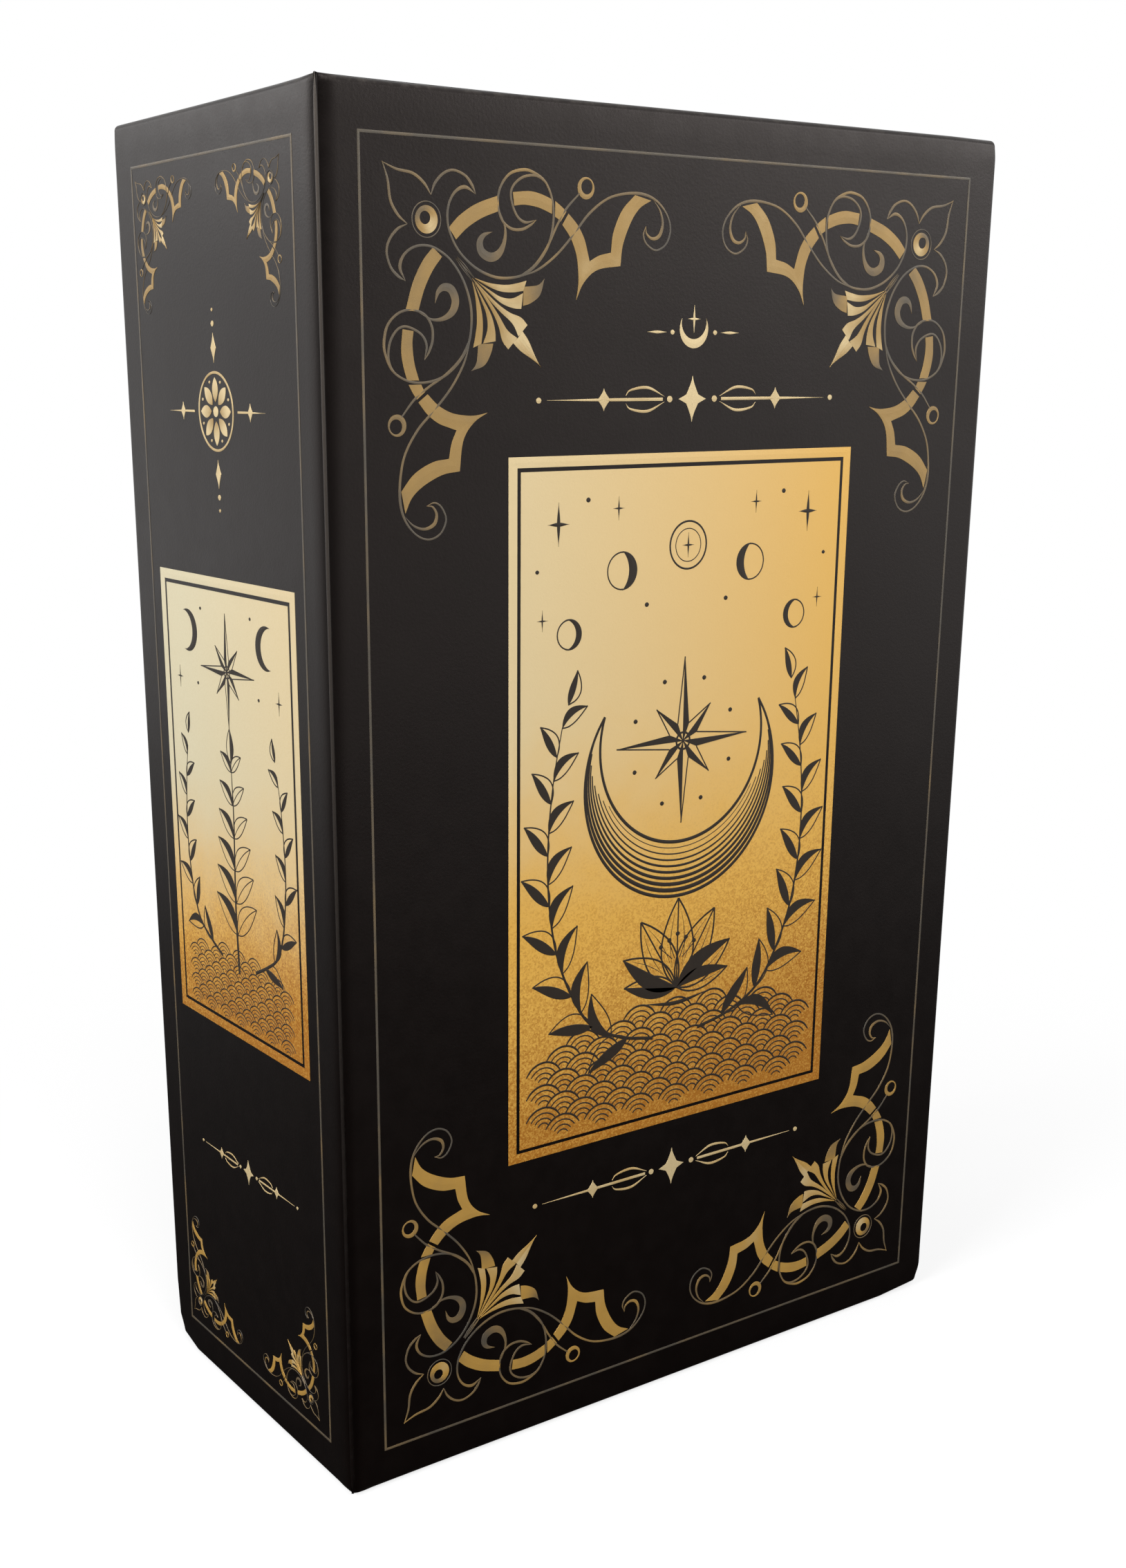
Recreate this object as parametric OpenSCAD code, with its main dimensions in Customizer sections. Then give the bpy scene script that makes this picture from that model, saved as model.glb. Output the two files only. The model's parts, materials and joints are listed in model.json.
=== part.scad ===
// Tarot card deck with a guidebook, in a book-style rigid box that stands upright.
// +X runs from the spine to the fore edge, +Y from the front cover to the back, +Z up.
// The origin is the centre of the box's base.  Sizes are millimetres.
// The box is worked out from the inside: cards, guidebook, tray, then the case round them.

/* [Cards] */
// Width of a card
card_w = 70; // [60:1:90]
// Height of a card
card_h = 120; // [90:1:150]
// Thickness of a card
card_t = 0.33; // [0.25:0.01:0.5]
// Radius of a card's corners
card_corner_r = 4; // [1:0.5:10]
// Number of trump cards
major_cards = 22; // [10:1:30]
// Number of cards in each of the four suits
suit_cards = 14; // [8:1:18]

/* [Guidebook] */
// Width of the guidebook, from its fold to its fore edge
guide_w = 69; // [50:0.5:80]
// Height of the guidebook
guide_h = 119; // [80:1:140]
// Thickness of one leaf
leaf_t = 0.14; // [0.08:0.01:0.2]
// Number of folded sheets sewn into the cover
guide_sheets = 12; // [4:1:20]
// Thickness of the guidebook's cover
guide_cover_t = 0.3; // [0.2:0.05:0.5]
// Diameter of the staple wire
staple_wire_d = 0.5; // [0.4:0.05:0.7]
// Length of a staple's crown
staple_l = 12; // [8:1:16]
// Distance from the guidebook's head or tail to a staple's middle
staple_inset = 30; // [15:1:35]

/* [Lift ribbon] */
// Width of the ribbon
ribbon_w = 10; // [6:1:16]
// Thickness of the ribbon
ribbon_t = 0.3; // [0.2:0.05:0.35]
// Length of the ribbon glued and lying behind the deck
ribbon_run = 46; // [25:1:65]
// Length of the free tail over the guidebook
ribbon_tail_l = 24; // [10:1:40]
// Height of the ribbon's middle above the tray's foot
ribbon_z = 66; // [40:1:85]

/* [Tray] */
// Thickness of the head, tail and spine-side walls' board
wall_t = 2; // [1.2:0.1:3]
// Thickness of the tray floor's board
floor_t = 1.5; // [1:0.1:3]
// Thickness of the paper on the tray
tray_paper_t = 0.15; // [0.1:0.01:0.25]
// Room beside the cards, on each side
side_play = 0.7; // [0.6:0.1:4]
// Finger room above the cards
head_room = 5.4; // [4.5:0.1:12]
// Room between the guidebook and the closed lid
front_play = 1.65; // [0.8:0.05:4]

/* [Case] */
// Thickness of the cover and spine boards
board_t = 2; // [1.5:0.1:3]
// Thickness of the printed paper round the case
case_paper_t = 0.2; // [0.12:0.01:0.3]
// Thickness of the paper lining the lid
liner_t = 0.15; // [0.1:0.01:0.25]
// Width of the printed paper turned in over the lid's edges
turn_in_w = 15; // [8:1:20]
// Margin of printed paper left round the lid's lining
liner_margin = 3; // [2:0.5:6]
// Radius of the folded paper bead along the hinge
hinge_bead_r = 0.2; // [0.15:0.01:0.3]
// Length over which the paper swells up to the bead
hinge_swell_l = 2; // [1:0.1:3]
// Radius of the vertical edge between the spine and the back
back_edge_r = 0.8; // [0.6:0.05:1.5]
// How far the covers stand out past the tray at the fore edge
fore_overhang = 0.2; // [0.1:0.05:2]
// How far the case ends short of the tray at the head and the tail
case_inset = 0.2; // [0.15:0.05:1]
// Gap between the closed lid and the tray's rim
lid_gap = 0.1; // [0.05:0.05:0.5]

/* [Closure] */
// Length of a bar magnet
magnet_l = 12; // [8:1:20]
// Width of a bar magnet
magnet_w = 3; // [2:0.5:5]
// Thickness of a bar magnet in the tray
magnet_t = 2; // [1:0.5:4]
// Thickness of the steel bar in the lid
keeper_t = 1; // [0.5:0.1:1.2]
// Board left on each side of a magnet
magnet_land = 0.3; // [0.2:0.05:1]
// Distance from the tray's head or foot to a magnet's middle
magnet_inset = 27; // [15:1:40]

/* [Gold printing] */
// Thickness of the gold layer
foil_t = 0.05; // [0.03:0.01:0.1]
// Width of the gold frame lines
frame_line_w = 0.33; // [0.2:0.01:0.8]
// Distance from the front's side and head edges to its frame line
front_frame_inset = 3.8; // [3:0.1:6]
// Distance from the spine's head and foot edges to its frame line
spine_frame_inset = 4; // [3:0.1:6]
// Width of the gold panel on the front
front_panel_w = 42.4; // [30:0.1:50]
// Height of the gold panel on the front
front_panel_h = 68.7; // [50:0.1:75]
// Width of the gold panel on the spine
spine_panel_w = 28; // [15:0.1:29]
// Height of the gold panel on the spine
spine_panel_h = 46.1; // [30:0.1:60]
// Width of the gold rim round each panel
panel_rim_w = 1; // [0.5:0.1:2]
// Width of the dark line inside that rim
panel_gap_w = 0.35; // [0.2:0.05:0.6]
// How far above the middle of their faces the panels sit
panel_rise = 0.4; // [0:0.1:3]

/* [Hidden] */
$fn = 48;

// Colours, as the photograph shows them
print_black = "#2b2927";
gold = "#c9a15a";
greyboard = "#8d8a84";
lining_black = "#1d1c1b";
card_face = "#3a352c";
page_cream = "#e9e2d0";
steel = "#b9bcc0";
ribbon_black = "#141415";

// Clearances
card_air = 0.02;     // air between two cards
leaf_air = 0.01;     // air between two leaves
fold_half_gap = 0.05; // half the space inside the innermost fold
seam = 0.02;         // hairline between two papers that butt
touch_air = 0.02;    // air between loose things that lie on each other
fit_gap = 0.05;      // round a magnet in its slot, and on each side of the hinge's mitre
glue_line = 0.01;    // between a board's head or foot edge and the paper folded over it

// The contents, stacked from the tray's floor to the lid
deck_cards = major_cards + 4 * suit_cards;
card_pitch = card_t + card_air;
deck_t = deck_cards * card_pitch - card_air;
pages_half_t = fold_half_gap + guide_sheets * (leaf_t + leaf_air);
guide_half_t = pages_half_t + guide_cover_t;
guide_t = 2 * guide_half_t;

// The tray, outside in.  Its pocket takes whichever is larger of the cards and the guidebook: the
// guidebook lies between its staples at one side and the ribbon at the other
ribbon_stand = (side_play + ribbon_t) / 2; // from the pocket's end to the ribbon's inner face
card_row_w = card_w + 2 * side_play;
guide_row_w = side_play + staple_wire_d + guide_w + side_play + ribbon_stand;
pocket_w = max(card_row_w, guide_row_w);
pocket_h = max(card_h, guide_h) + head_room;
fore_layer_t = magnet_w / 2 + magnet_land;
papered_wall_t = wall_t + 2 * tray_paper_t;
papered_fore_t = 2 * fore_layer_t + 2 * tray_paper_t;
tray_w = papered_wall_t + pocket_w + papered_fore_t;
tray_h = pocket_h + 2 * papered_wall_t;
pocket_d = touch_air + ribbon_t + touch_air + deck_t + touch_air + guide_t + front_play - lid_gap;
tray_d = pocket_d + tray_paper_t + floor_t;

// The case round it
lid_t = case_paper_t + board_t + case_paper_t + liner_t;
box_w = hinge_bead_r + case_paper_t + board_t + tray_w + fore_overhang;
box_d = hinge_bead_r + lid_t + lid_gap + tray_d + board_t + case_paper_t;
box_h = tray_h;

// Case planes in X: spine side to fore edge
x_bead = -box_w / 2;
x_spine = x_bead + hinge_bead_r;
x_spine_board = x_spine + case_paper_t;
x_tray = x_spine_board + board_t;
x_pocket = x_tray + papered_wall_t;
x_pocket_end = x_pocket + pocket_w;
x_tray_end = x_tray + tray_w;
x_fore = box_w / 2;
x_fore_board = x_fore - case_paper_t;

// Case planes in Y: front to back
y_bead = -box_d / 2;
y_front = y_bead + hinge_bead_r;
y_front_board = y_front + case_paper_t;
y_lid_board_in = y_front_board + board_t;
y_turn_in = y_lid_board_in + case_paper_t;
y_lid_in = y_turn_in + liner_t;
y_rim = y_lid_in + lid_gap;
y_floor = y_rim + pocket_d;
y_floor_board = y_floor + tray_paper_t;
y_back_board = y_floor_board + floor_t;
y_back_paper = y_back_board + board_t;
y_back = box_d / 2;

// Case planes in Z
z_case = case_inset;
z_case_end = box_h - case_inset;
z_board = z_case + case_paper_t;
z_board_end = z_case_end - case_paper_t;
case_h = z_case_end - z_case;
z_pocket = papered_wall_t;
z_pocket_end = box_h - papered_wall_t;

// The contents' places
y_deck_end = y_floor - 2 * touch_air - ribbon_t;
y_deck = y_deck_end - deck_t;
y_guide_mid = y_deck - touch_air - guide_half_t;
y_guide = y_guide_mid - guide_half_t;
z_contents = z_pocket + touch_air;
x_cards = x_pocket_end - side_play - card_w;
x_ribbon = x_pocket_end - ribbon_stand;
x_guide_end = x_ribbon - side_play;
x_guide = x_guide_end - guide_w;
x_guide_fold = x_guide + guide_half_t;
x_magnet = x_tray_end - papered_fore_t / 2;
y_magnet = y_rim + tray_paper_t;

// A box from one corner to the other
module block(low, high) {
    translate(low) cube(high - low);
}

// A flat shape in XY, drawn up from one height to another
module upright(z0, z1) {
    translate([0, 0, z0]) linear_extrude(z1 - z0) children();
}

// A round-cornered rectangle, from its lower left corner
module rounded_rectangle(w, h, r) {
    translate([r, 0]) square([w - 2 * r, h]);
    translate([0, r]) square([w, h - 2 * r]);
    for (x = [r, w - r], y = [r, h - r]) translate([x, y]) circle(r);
}

// A rectangular ring of a given line width, centred
module ring(w, h, line) {
    difference() {
        square([w, h], center = true);
        square([w - 2 * line, h - 2 * line], center = true);
    }
}

// ---- case boards: mitred where they meet, as a V-cut board folds up ----

// Rounds the outer vertical edge between the spine and the back, leaving a radius of r there
module back_edge_cut(r) {
    corner = back_edge_r + 1;
    cx = x_spine + back_edge_r;
    cy = y_back - back_edge_r;
    difference() {
        translate([cx - corner, cy]) square(corner);
        translate([cx, cy]) circle(r);
    }
}

module front_board_shape() {
    polygon([
        [x_spine_board + fit_gap, y_front_board],
        [x_fore_board, y_front_board],
        [x_fore_board, y_lid_board_in],
        [x_spine_board + fit_gap + board_t, y_lid_board_in]
    ]);
}

module spine_board_shape() {
    difference() {
        polygon([
            [x_spine_board, y_front_board + fit_gap],
            [x_tray, y_front_board + fit_gap + board_t],
            [x_tray, y_back_board],
            [x_spine_board, y_back_paper]
        ]);
        back_edge_cut(back_edge_r - case_paper_t);
    }
}

module back_board_shape() {
    difference() {
        polygon([
            [x_tray + seam, y_back_board],
            [x_fore_board, y_back_board],
            [x_fore_board, y_back_paper],
            [x_spine_board + seam, y_back_paper]
        ]);
        back_edge_cut(back_edge_r - case_paper_t);
    }
}

// Where the front board is let in for the two steel keepers
module keeper_bars(gap) {
    for (z = [magnet_inset, box_h - magnet_inset])
        block(
            [x_magnet - magnet_w / 2 - gap, y_lid_board_in - keeper_t - gap, z - magnet_l / 2 - gap],
            [x_magnet + magnet_w / 2 + gap, y_lid_board_in, z + magnet_l / 2 + gap]
        );
}

module front_board() {
    color(greyboard) difference() {
        upright(z_board, z_board_end) front_board_shape();
        keeper_bars(fit_gap);
    }
}

module spine_board() {
    color(greyboard) upright(z_board, z_board_end) spine_board_shape();
}

module back_board() {
    color(greyboard) upright(z_board, z_board_end) back_board_shape();
}

// ---- printed paper round the case, folded over each board's edges ----

// The room that a folded paper leaves for its board
module board_room() {
    upright(z_board - glue_line, z_board_end + glue_line) children();
}

// Outline of the lid with its paper: the board, the paper on its front and fore edge, the turn-in
// inside, and a concave end that turns about the hinge bead
module lid_papered_shape() {
    difference() {
        polygon([
            [x_spine + fit_gap, y_front - hinge_bead_r / 2],
            [x_spine + hinge_bead_r, y_front - hinge_bead_r / 2],
            [x_spine + hinge_swell_l, y_front],
            [x_fore, y_front],
            [x_fore, y_turn_in],
            [x_spine + fit_gap + y_turn_in - y_front, y_turn_in],
            [x_spine + fit_gap, y_front]
        ]);
        translate([x_spine, y_front]) circle(hinge_bead_r + touch_air);
    }
}

module front_wrap() {
    window_end = x_fore - turn_in_w;
    color(print_black) difference() {
        upright(z_case, z_case_end) lid_papered_shape();
        board_room() front_board_shape();
        block(
            [x_spine, y_lid_board_in - seam, z_case + turn_in_w],
            [window_end, y_turn_in + 1, z_case_end - turn_in_w]
        );
    }
}

// The spine's paper ends at the front in the folded bead that the lid turns on
module spine_wrap() {
    color(print_black) difference() {
        upright(z_case, z_case_end) difference() {
            union() {
                polygon([
                    [x_spine - hinge_bead_r / 2, y_front],
                    [x_spine + fit_gap, y_front + 2 * fit_gap],
                    [x_tray, y_front + fit_gap + x_tray - x_spine],
                    [x_tray, y_back_board],
                    [x_spine, y_back],
                    [x_spine, y_front + hinge_swell_l],
                    [x_spine - hinge_bead_r / 2, y_front + hinge_bead_r]
                ]);
                translate([x_spine, y_front]) circle(hinge_bead_r);
            }
            back_edge_cut(back_edge_r);
        }
        board_room() spine_board_shape();
    }
}

module back_wrap() {
    color(print_black) difference() {
        upright(z_case, z_case_end) difference() {
            polygon([
                [x_tray + seam, y_back_board],
                [x_fore, y_back_board],
                [x_fore, y_back],
                [x_spine + seam, y_back]
            ]);
            back_edge_cut(back_edge_r);
        }
        board_room() back_board_shape();
    }
}

// The lid's lining: it fills the window between the turn-ins and laps over them
module lid_liner() {
    x0 = x_spine + fit_gap + y_lid_in - y_front;
    color(lining_black) {
        block(
            [x0, y_turn_in, z_case + liner_margin],
            [x_fore - liner_margin, y_lid_in, z_case_end - liner_margin]
        );
        block(
            [x0, y_lid_board_in, z_case + turn_in_w + seam],
            [x_fore - turn_in_w - seam, y_turn_in, z_case_end - turn_in_w - seam]
        );
    }
}

module lid_keepers() {
    color(steel) keeper_bars(0);
}

// ---- tray ----

module tray_floor() {
    color(greyboard) block(
        [x_tray + tray_paper_t, y_floor_board, tray_paper_t],
        [x_tray_end - tray_paper_t, y_back_board, box_h - tray_paper_t]
    );
}

module tray_floor_liner() {
    color(lining_black) block(
        [x_pocket + seam, y_floor, z_pocket + seam],
        [x_pocket_end - seam, y_floor_board, z_pocket_end - seam]
    );
}

// A head or tail wall lies across the whole tray
module end_wall(z0) {
    color(greyboard) block(
        [x_tray + tray_paper_t, y_rim + tray_paper_t, z0],
        [x_tray_end - tray_paper_t, y_floor_board, z0 + wall_t]
    );
}

module tray_head_wall() {
    end_wall(box_h - tray_paper_t - wall_t);
}

module tray_tail_wall() {
    end_wall(tray_paper_t);
}

// A side wall stands between the head and tail walls
module side_wall(x0, thickness) {
    block(
        [x0, y_rim + tray_paper_t, tray_paper_t + wall_t],
        [x0 + thickness, y_floor_board, box_h - tray_paper_t - wall_t]
    );
}

module tray_spine_wall() {
    color(greyboard) side_wall(x_tray + tray_paper_t, wall_t);
}

// The two bar magnets lie between the two layers of the fore wall, under the rim's paper
module magnet_bars(gap) {
    for (z = [magnet_inset, box_h - magnet_inset])
        block(
            [x_magnet - magnet_w / 2 - gap, y_magnet, z - magnet_l / 2 - gap],
            [x_magnet + magnet_w / 2 + gap, y_magnet + magnet_t + gap, z + magnet_l / 2 + gap]
        );
}

module tray_fore_wall_inner() {
    color(greyboard) difference() {
        side_wall(x_magnet - fore_layer_t, fore_layer_t);
        magnet_bars(fit_gap);
    }
}

module tray_fore_wall_outer() {
    color(greyboard) difference() {
        side_wall(x_magnet, fore_layer_t);
        magnet_bars(fit_gap);
    }
}

module tray_magnets() {
    color(steel) magnet_bars(0);
}

// Paper over one wall: outside, over the rim and down the inside.  The wall runs along Z here,
// from x = 0 (outside) to x = thickness (pocket side)
module wall_paper(thickness, outer_z0, outer_z1, inner_z0, inner_z1) {
    block([0, y_rim, outer_z0], [tray_paper_t, y_back_board, outer_z1]);
    block([0, y_rim, inner_z0], [thickness, y_rim + tray_paper_t, inner_z1]);
    block([thickness - tray_paper_t, y_rim, inner_z0], [thickness, y_floor_board, inner_z1]);
}

module tray_wrap() {
    color(lining_black) {
        side_z0 = tray_paper_t + seam;
        side_z1 = box_h - side_z0;
        inner_z0 = z_pocket + seam;
        inner_z1 = z_pocket_end - seam;
        translate([x_tray, 0, 0])
            wall_paper(papered_wall_t, side_z0, side_z1, inner_z0, inner_z1);
        translate([x_tray_end, 0, 0]) mirror([1, 0, 0])
            wall_paper(papered_fore_t, side_z0, side_z1, inner_z0, inner_z1);
        end_paper();
        translate([0, 0, box_h]) mirror([0, 0, 1]) end_paper();
    }
}

// Paper over the tail wall, across the whole tray outside and on the rim
module end_paper() {
    side = tray_paper_t + seam;
    block([x_tray, y_rim, 0], [x_tray_end, y_back_board, tray_paper_t]);
    block([x_tray + side, y_rim, 0], [x_tray_end - side, y_rim + tray_paper_t, z_pocket]);
    block(
        [x_pocket, y_rim, z_pocket - tray_paper_t],
        [x_pocket_end, y_floor_board, z_pocket]
    );
}

// ---- lift ribbon ----

module ribbon_base() {
    z0 = z_contents + ribbon_z - ribbon_w / 2;
    y0 = y_floor - touch_air - ribbon_t;
    color(ribbon_black) {
        block([x_ribbon + ribbon_t - ribbon_run, y0, z0],
              [x_ribbon + ribbon_t, y0 + ribbon_t, z0 + ribbon_w]);
        block([x_ribbon, y_guide - touch_air, z0], [x_ribbon + ribbon_t, y0 + ribbon_t, z0 + ribbon_w]);
    }
}

// The tail goes out with the guidebook
module ribbon_tail() {
    z0 = z_contents + ribbon_z - ribbon_w / 2;
    y1 = y_guide - touch_air;
    color(ribbon_black) block(
        [x_ribbon + ribbon_t - ribbon_tail_l, y1 - ribbon_t, z0],
        [x_ribbon + ribbon_t, y1, z0 + ribbon_w]
    );
}

// ---- guidebook: folded sheets in a folded cover, with two wire staples in the fold ----

// One folded sheet, as its shape in XY: a half ring at the fold and a leaf on each side
module folded_sheet(inner_r, thickness) {
    outer_r = inner_r + thickness;
    translate([x_guide_fold, y_guide_mid]) {
        difference() {
            circle(outer_r);
            circle(inner_r);
            translate([0, -outer_r - 1]) square([outer_r + 1, 2 * outer_r + 2]);
        }
        for (y = [inner_r, -outer_r])
            translate([-seam, y]) square([x_guide_end - x_guide_fold + seam, thickness]);
    }
}

module guide_cover() {
    color(print_black) upright(z_contents, z_contents + guide_h)
        folded_sheet(pages_half_t, guide_cover_t);
}

module guide_pages() {
    color(page_cream) for (i = [0 : guide_sheets - 1])
        upright(z_contents, z_contents + guide_h)
            folded_sheet(fold_half_gap + i * (leaf_t + leaf_air), leaf_t);
}

module guide_staples() {
    crown_x = x_guide - staple_wire_d / 2;
    leg_l = guide_half_t + staple_wire_d;
    color(steel) for (z = [z_contents + staple_inset, z_contents + guide_h - staple_inset])
        translate([crown_x, y_guide_mid, z]) {
            cylinder(h = staple_l, d = staple_wire_d, center = true);
            for (side = [-1, 1])
                translate([0, 0, side * (staple_l - staple_wire_d) / 2])
                    rotate([0, 90, 0]) cylinder(h = leg_l, d = staple_wire_d);
        }
}

// ---- cards: one solid each, standing on their lower edges ----

// A run of cards, from the one numbered first, counted back from the guidebook
module cards(first, count) {
    for (i = [first : first + count - 1])
        translate([x_cards, y_deck + i * card_pitch + card_t, z_contents])
            rotate([90, 0, 0]) linear_extrude(card_t)
                rounded_rectangle(card_w, card_h, card_corner_r);
}

module trump_cards() {
    color(gold) cards(0, major_cards);
}

module wand_cards() {
    color(card_face) cards(major_cards, suit_cards);
}

module cup_cards() {
    color(card_face) cards(major_cards + suit_cards, suit_cards);
}

module sword_cards() {
    color(card_face) cards(major_cards + 2 * suit_cards, suit_cards);
}

module coin_cards() {
    color(card_face) cards(major_cards + 3 * suit_cards, suit_cards);
}

// ---- gold printing: a frame line and a panel with a rim on the front and on the spine ----

// Puts a flat shape, drawn in (across, up), on the front face
module on_front() {
    translate([0, y_front, 0]) rotate([90, 0, 0]) linear_extrude(foil_t) children();
}

// Puts a flat shape, drawn in (back, up), on the spine's face
module on_spine() {
    translate([x_spine, 0, 0]) rotate([90, 0, -90])
        linear_extrude(foil_t) mirror([1, 0, 0]) children();
}

// A panel's gold rim and its gold field, with the dark line left between them
module panel_shape(w, h) {
    ring(w, h, panel_rim_w);
    square([w - 2 * (panel_rim_w + panel_gap_w), h - 2 * (panel_rim_w + panel_gap_w)], center = true);
}

z_face_mid = (z_case + z_case_end) / 2;
x_front_mid = (x_spine + x_fore) / 2;
y_spine_mid = (y_front + y_back) / 2;

module front_gold_panel() {
    color(gold) on_front() translate([x_front_mid, z_face_mid + panel_rise])
        panel_shape(front_panel_w, front_panel_h);
}

module front_gold_frame() {
    color(gold) on_front() translate([x_front_mid, z_face_mid])
        ring(x_fore - x_spine - 2 * front_frame_inset, case_h - 2 * front_frame_inset, frame_line_w);
}

module spine_gold_panel() {
    color(gold) on_spine() translate([y_spine_mid, z_face_mid + panel_rise])
        panel_shape(spine_panel_w, spine_panel_h);
}

module spine_gold_frame() {
    color(gold) on_spine() translate([y_spine_mid, z_face_mid])
        ring(y_back - y_front - 2 * spine_frame_inset, case_h - 2 * spine_frame_inset, frame_line_w);
}

back_board();
spine_board();
back_wrap();
spine_wrap();
tray_floor();
tray_floor_liner();
tray_head_wall();
tray_tail_wall();
tray_spine_wall();
tray_fore_wall_inner();
tray_fore_wall_outer();
tray_wrap();
tray_magnets();
ribbon_base();
spine_gold_panel();
spine_gold_frame();
front_board();
front_wrap();
lid_liner();
lid_keepers();
front_gold_panel();
front_gold_frame();
guide_cover();
guide_pages();
guide_staples();
ribbon_tail();
trump_cards();
wand_cards();
cup_cards();
sword_cards();
coin_cards();
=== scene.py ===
"""Dresses the packed card box: folded printed paper, gold printing, tray, guidebook, cards and ribbon."""

import json
import math

import bmesh
import bpy
import numpy as np
from mathutils import Matrix, Vector


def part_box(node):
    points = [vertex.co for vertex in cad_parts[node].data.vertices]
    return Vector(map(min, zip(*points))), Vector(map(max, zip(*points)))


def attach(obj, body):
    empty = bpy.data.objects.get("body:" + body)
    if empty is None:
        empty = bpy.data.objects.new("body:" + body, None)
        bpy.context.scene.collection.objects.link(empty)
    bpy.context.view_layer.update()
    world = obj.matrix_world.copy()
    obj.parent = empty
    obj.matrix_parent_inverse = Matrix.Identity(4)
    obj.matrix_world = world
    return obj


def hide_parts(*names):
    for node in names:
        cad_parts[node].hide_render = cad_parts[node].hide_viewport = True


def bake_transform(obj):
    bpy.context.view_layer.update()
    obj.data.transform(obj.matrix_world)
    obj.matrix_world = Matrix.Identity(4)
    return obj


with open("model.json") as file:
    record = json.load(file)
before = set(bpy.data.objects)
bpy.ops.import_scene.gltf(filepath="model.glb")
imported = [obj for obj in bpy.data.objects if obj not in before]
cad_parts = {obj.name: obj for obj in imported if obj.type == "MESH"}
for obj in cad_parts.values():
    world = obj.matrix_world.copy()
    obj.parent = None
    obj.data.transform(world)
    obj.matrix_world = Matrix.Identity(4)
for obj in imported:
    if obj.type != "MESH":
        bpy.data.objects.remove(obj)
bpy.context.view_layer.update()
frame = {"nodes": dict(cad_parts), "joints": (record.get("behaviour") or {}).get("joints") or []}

bl_info = {
    "name": "Book-style card box",
    "version": (1, 0, 0),
    "blender": (4, 5, 0),
    "location": "View3D > Sidebar > Card box",
    "description": "Builds the looks of a tarot card box round its packed CAD model",
    "category": "Object",
}

MM = 0.001

# ---- planes of the box, in metres, all from the frame ----

HINGE = next(joint for joint in frame["joints"] if joint["name"] == "lid_hinge")["pos_m"]
FRONT_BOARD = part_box("front_board")
SPINE_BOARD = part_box("spine_board")
BACK_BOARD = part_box("back_board")
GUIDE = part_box("guide_cover")
DECK_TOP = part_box("trump_cards")
RIBBON_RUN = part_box("ribbon_base")
RIBBON_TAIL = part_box("ribbon_tail")

X_SPINE = HINGE[0]
Y_FRONT = HINGE[1]
PAPER_T = FRONT_BOARD[0].y - Y_FRONT
X_TRAY = SPINE_BOARD[1].x
X_FORE = FRONT_BOARD[1].x + PAPER_T
Y_TURN_IN = FRONT_BOARD[1].y + PAPER_T
Y_BACK_INNER = BACK_BOARD[0].y
Y_BACK = BACK_BOARD[1].y + PAPER_T
Z_FOOT = FRONT_BOARD[0].z - PAPER_T
Z_HEAD = FRONT_BOARD[1].z + PAPER_T
FOLD_GAP = 0.03 * MM  # between the lid's paper and the case's, inside the fold

# The printed faces, in millimetres
FRONT_W = (X_FORE - X_SPINE) / MM
SPINE_W = (Y_BACK - Y_FRONT) / MM
FACE_H = (Z_HEAD - Z_FOOT) / MM


# ---- settings ----


def size_setting(name, description, default):
    """A length, its default given in millimetres."""
    return bpy.props.FloatProperty(
        name=name, description=description, default=default * MM, unit="LENGTH", precision=6)


def colour_setting(name, description, *default):
    """A colour."""
    return bpy.props.FloatVectorProperty(
        name=name, description=description, default=default, size=3, subtype="COLOR")


def amount_setting(name, description, default, unit="NONE"):
    """A share, a strength or a power, never below zero."""
    return bpy.props.FloatProperty(name=name, description=description, default=default, min=0.0, unit=unit)


class PaperSettings(bpy.types.PropertyGroup):
    """Sizes and colours of the printed paper and the tray's paper."""

    fold_round: size_setting("Fold radius", "Radius where the paper folds over a board's edge", 0.5)
    back_round: size_setting("Back edge radius", "Radius of the edge between the spine and the back", 0.8)
    bead_radius: size_setting("Bead radius", "Radius of the folded bead that the lid turns on", 0.16)
    front_dip: size_setting("Front dip", "How far the front's paper dips beside the bead", 0.48)
    spine_dip: size_setting("Spine dip", "How far the spine's paper dips beside the bead", 0.4)
    front_reach: size_setting(
        "Front reach", "How far from the bead the front's paper lies flat again", 2.2)
    spine_reach: size_setting(
        "Spine reach", "How far from the bead the spine's paper lies flat again", 2.7)
    head_lift: size_setting("Head lift", "How far the paper rises at the head of the hinge", 0.18)
    foot_blunt: size_setting(
        "Foot blunt", "How far the point at the foot of the hinge is worn back", 0.2)
    end_sag: size_setting("End sag", "How far the faces draw in towards the head and the foot", 0.08)
    corner_crush: size_setting("Corner crush", "How far the bumped corners are pushed in", 0.45)
    black: colour_setting("Printed black", "The printed, laminated paper", 0.0018, 0.0009, 0.0007)
    # also mixed into the hinge bead as a painted highlight, strongest towards the head
    worn: colour_setting("Worn edge", "Where the edges are rubbed", 0.06, 0.052, 0.044)
    tray_black: colour_setting("Tray paper", "The uncoated paper on the tray", 0.016, 0.0152, 0.0145)


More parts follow.
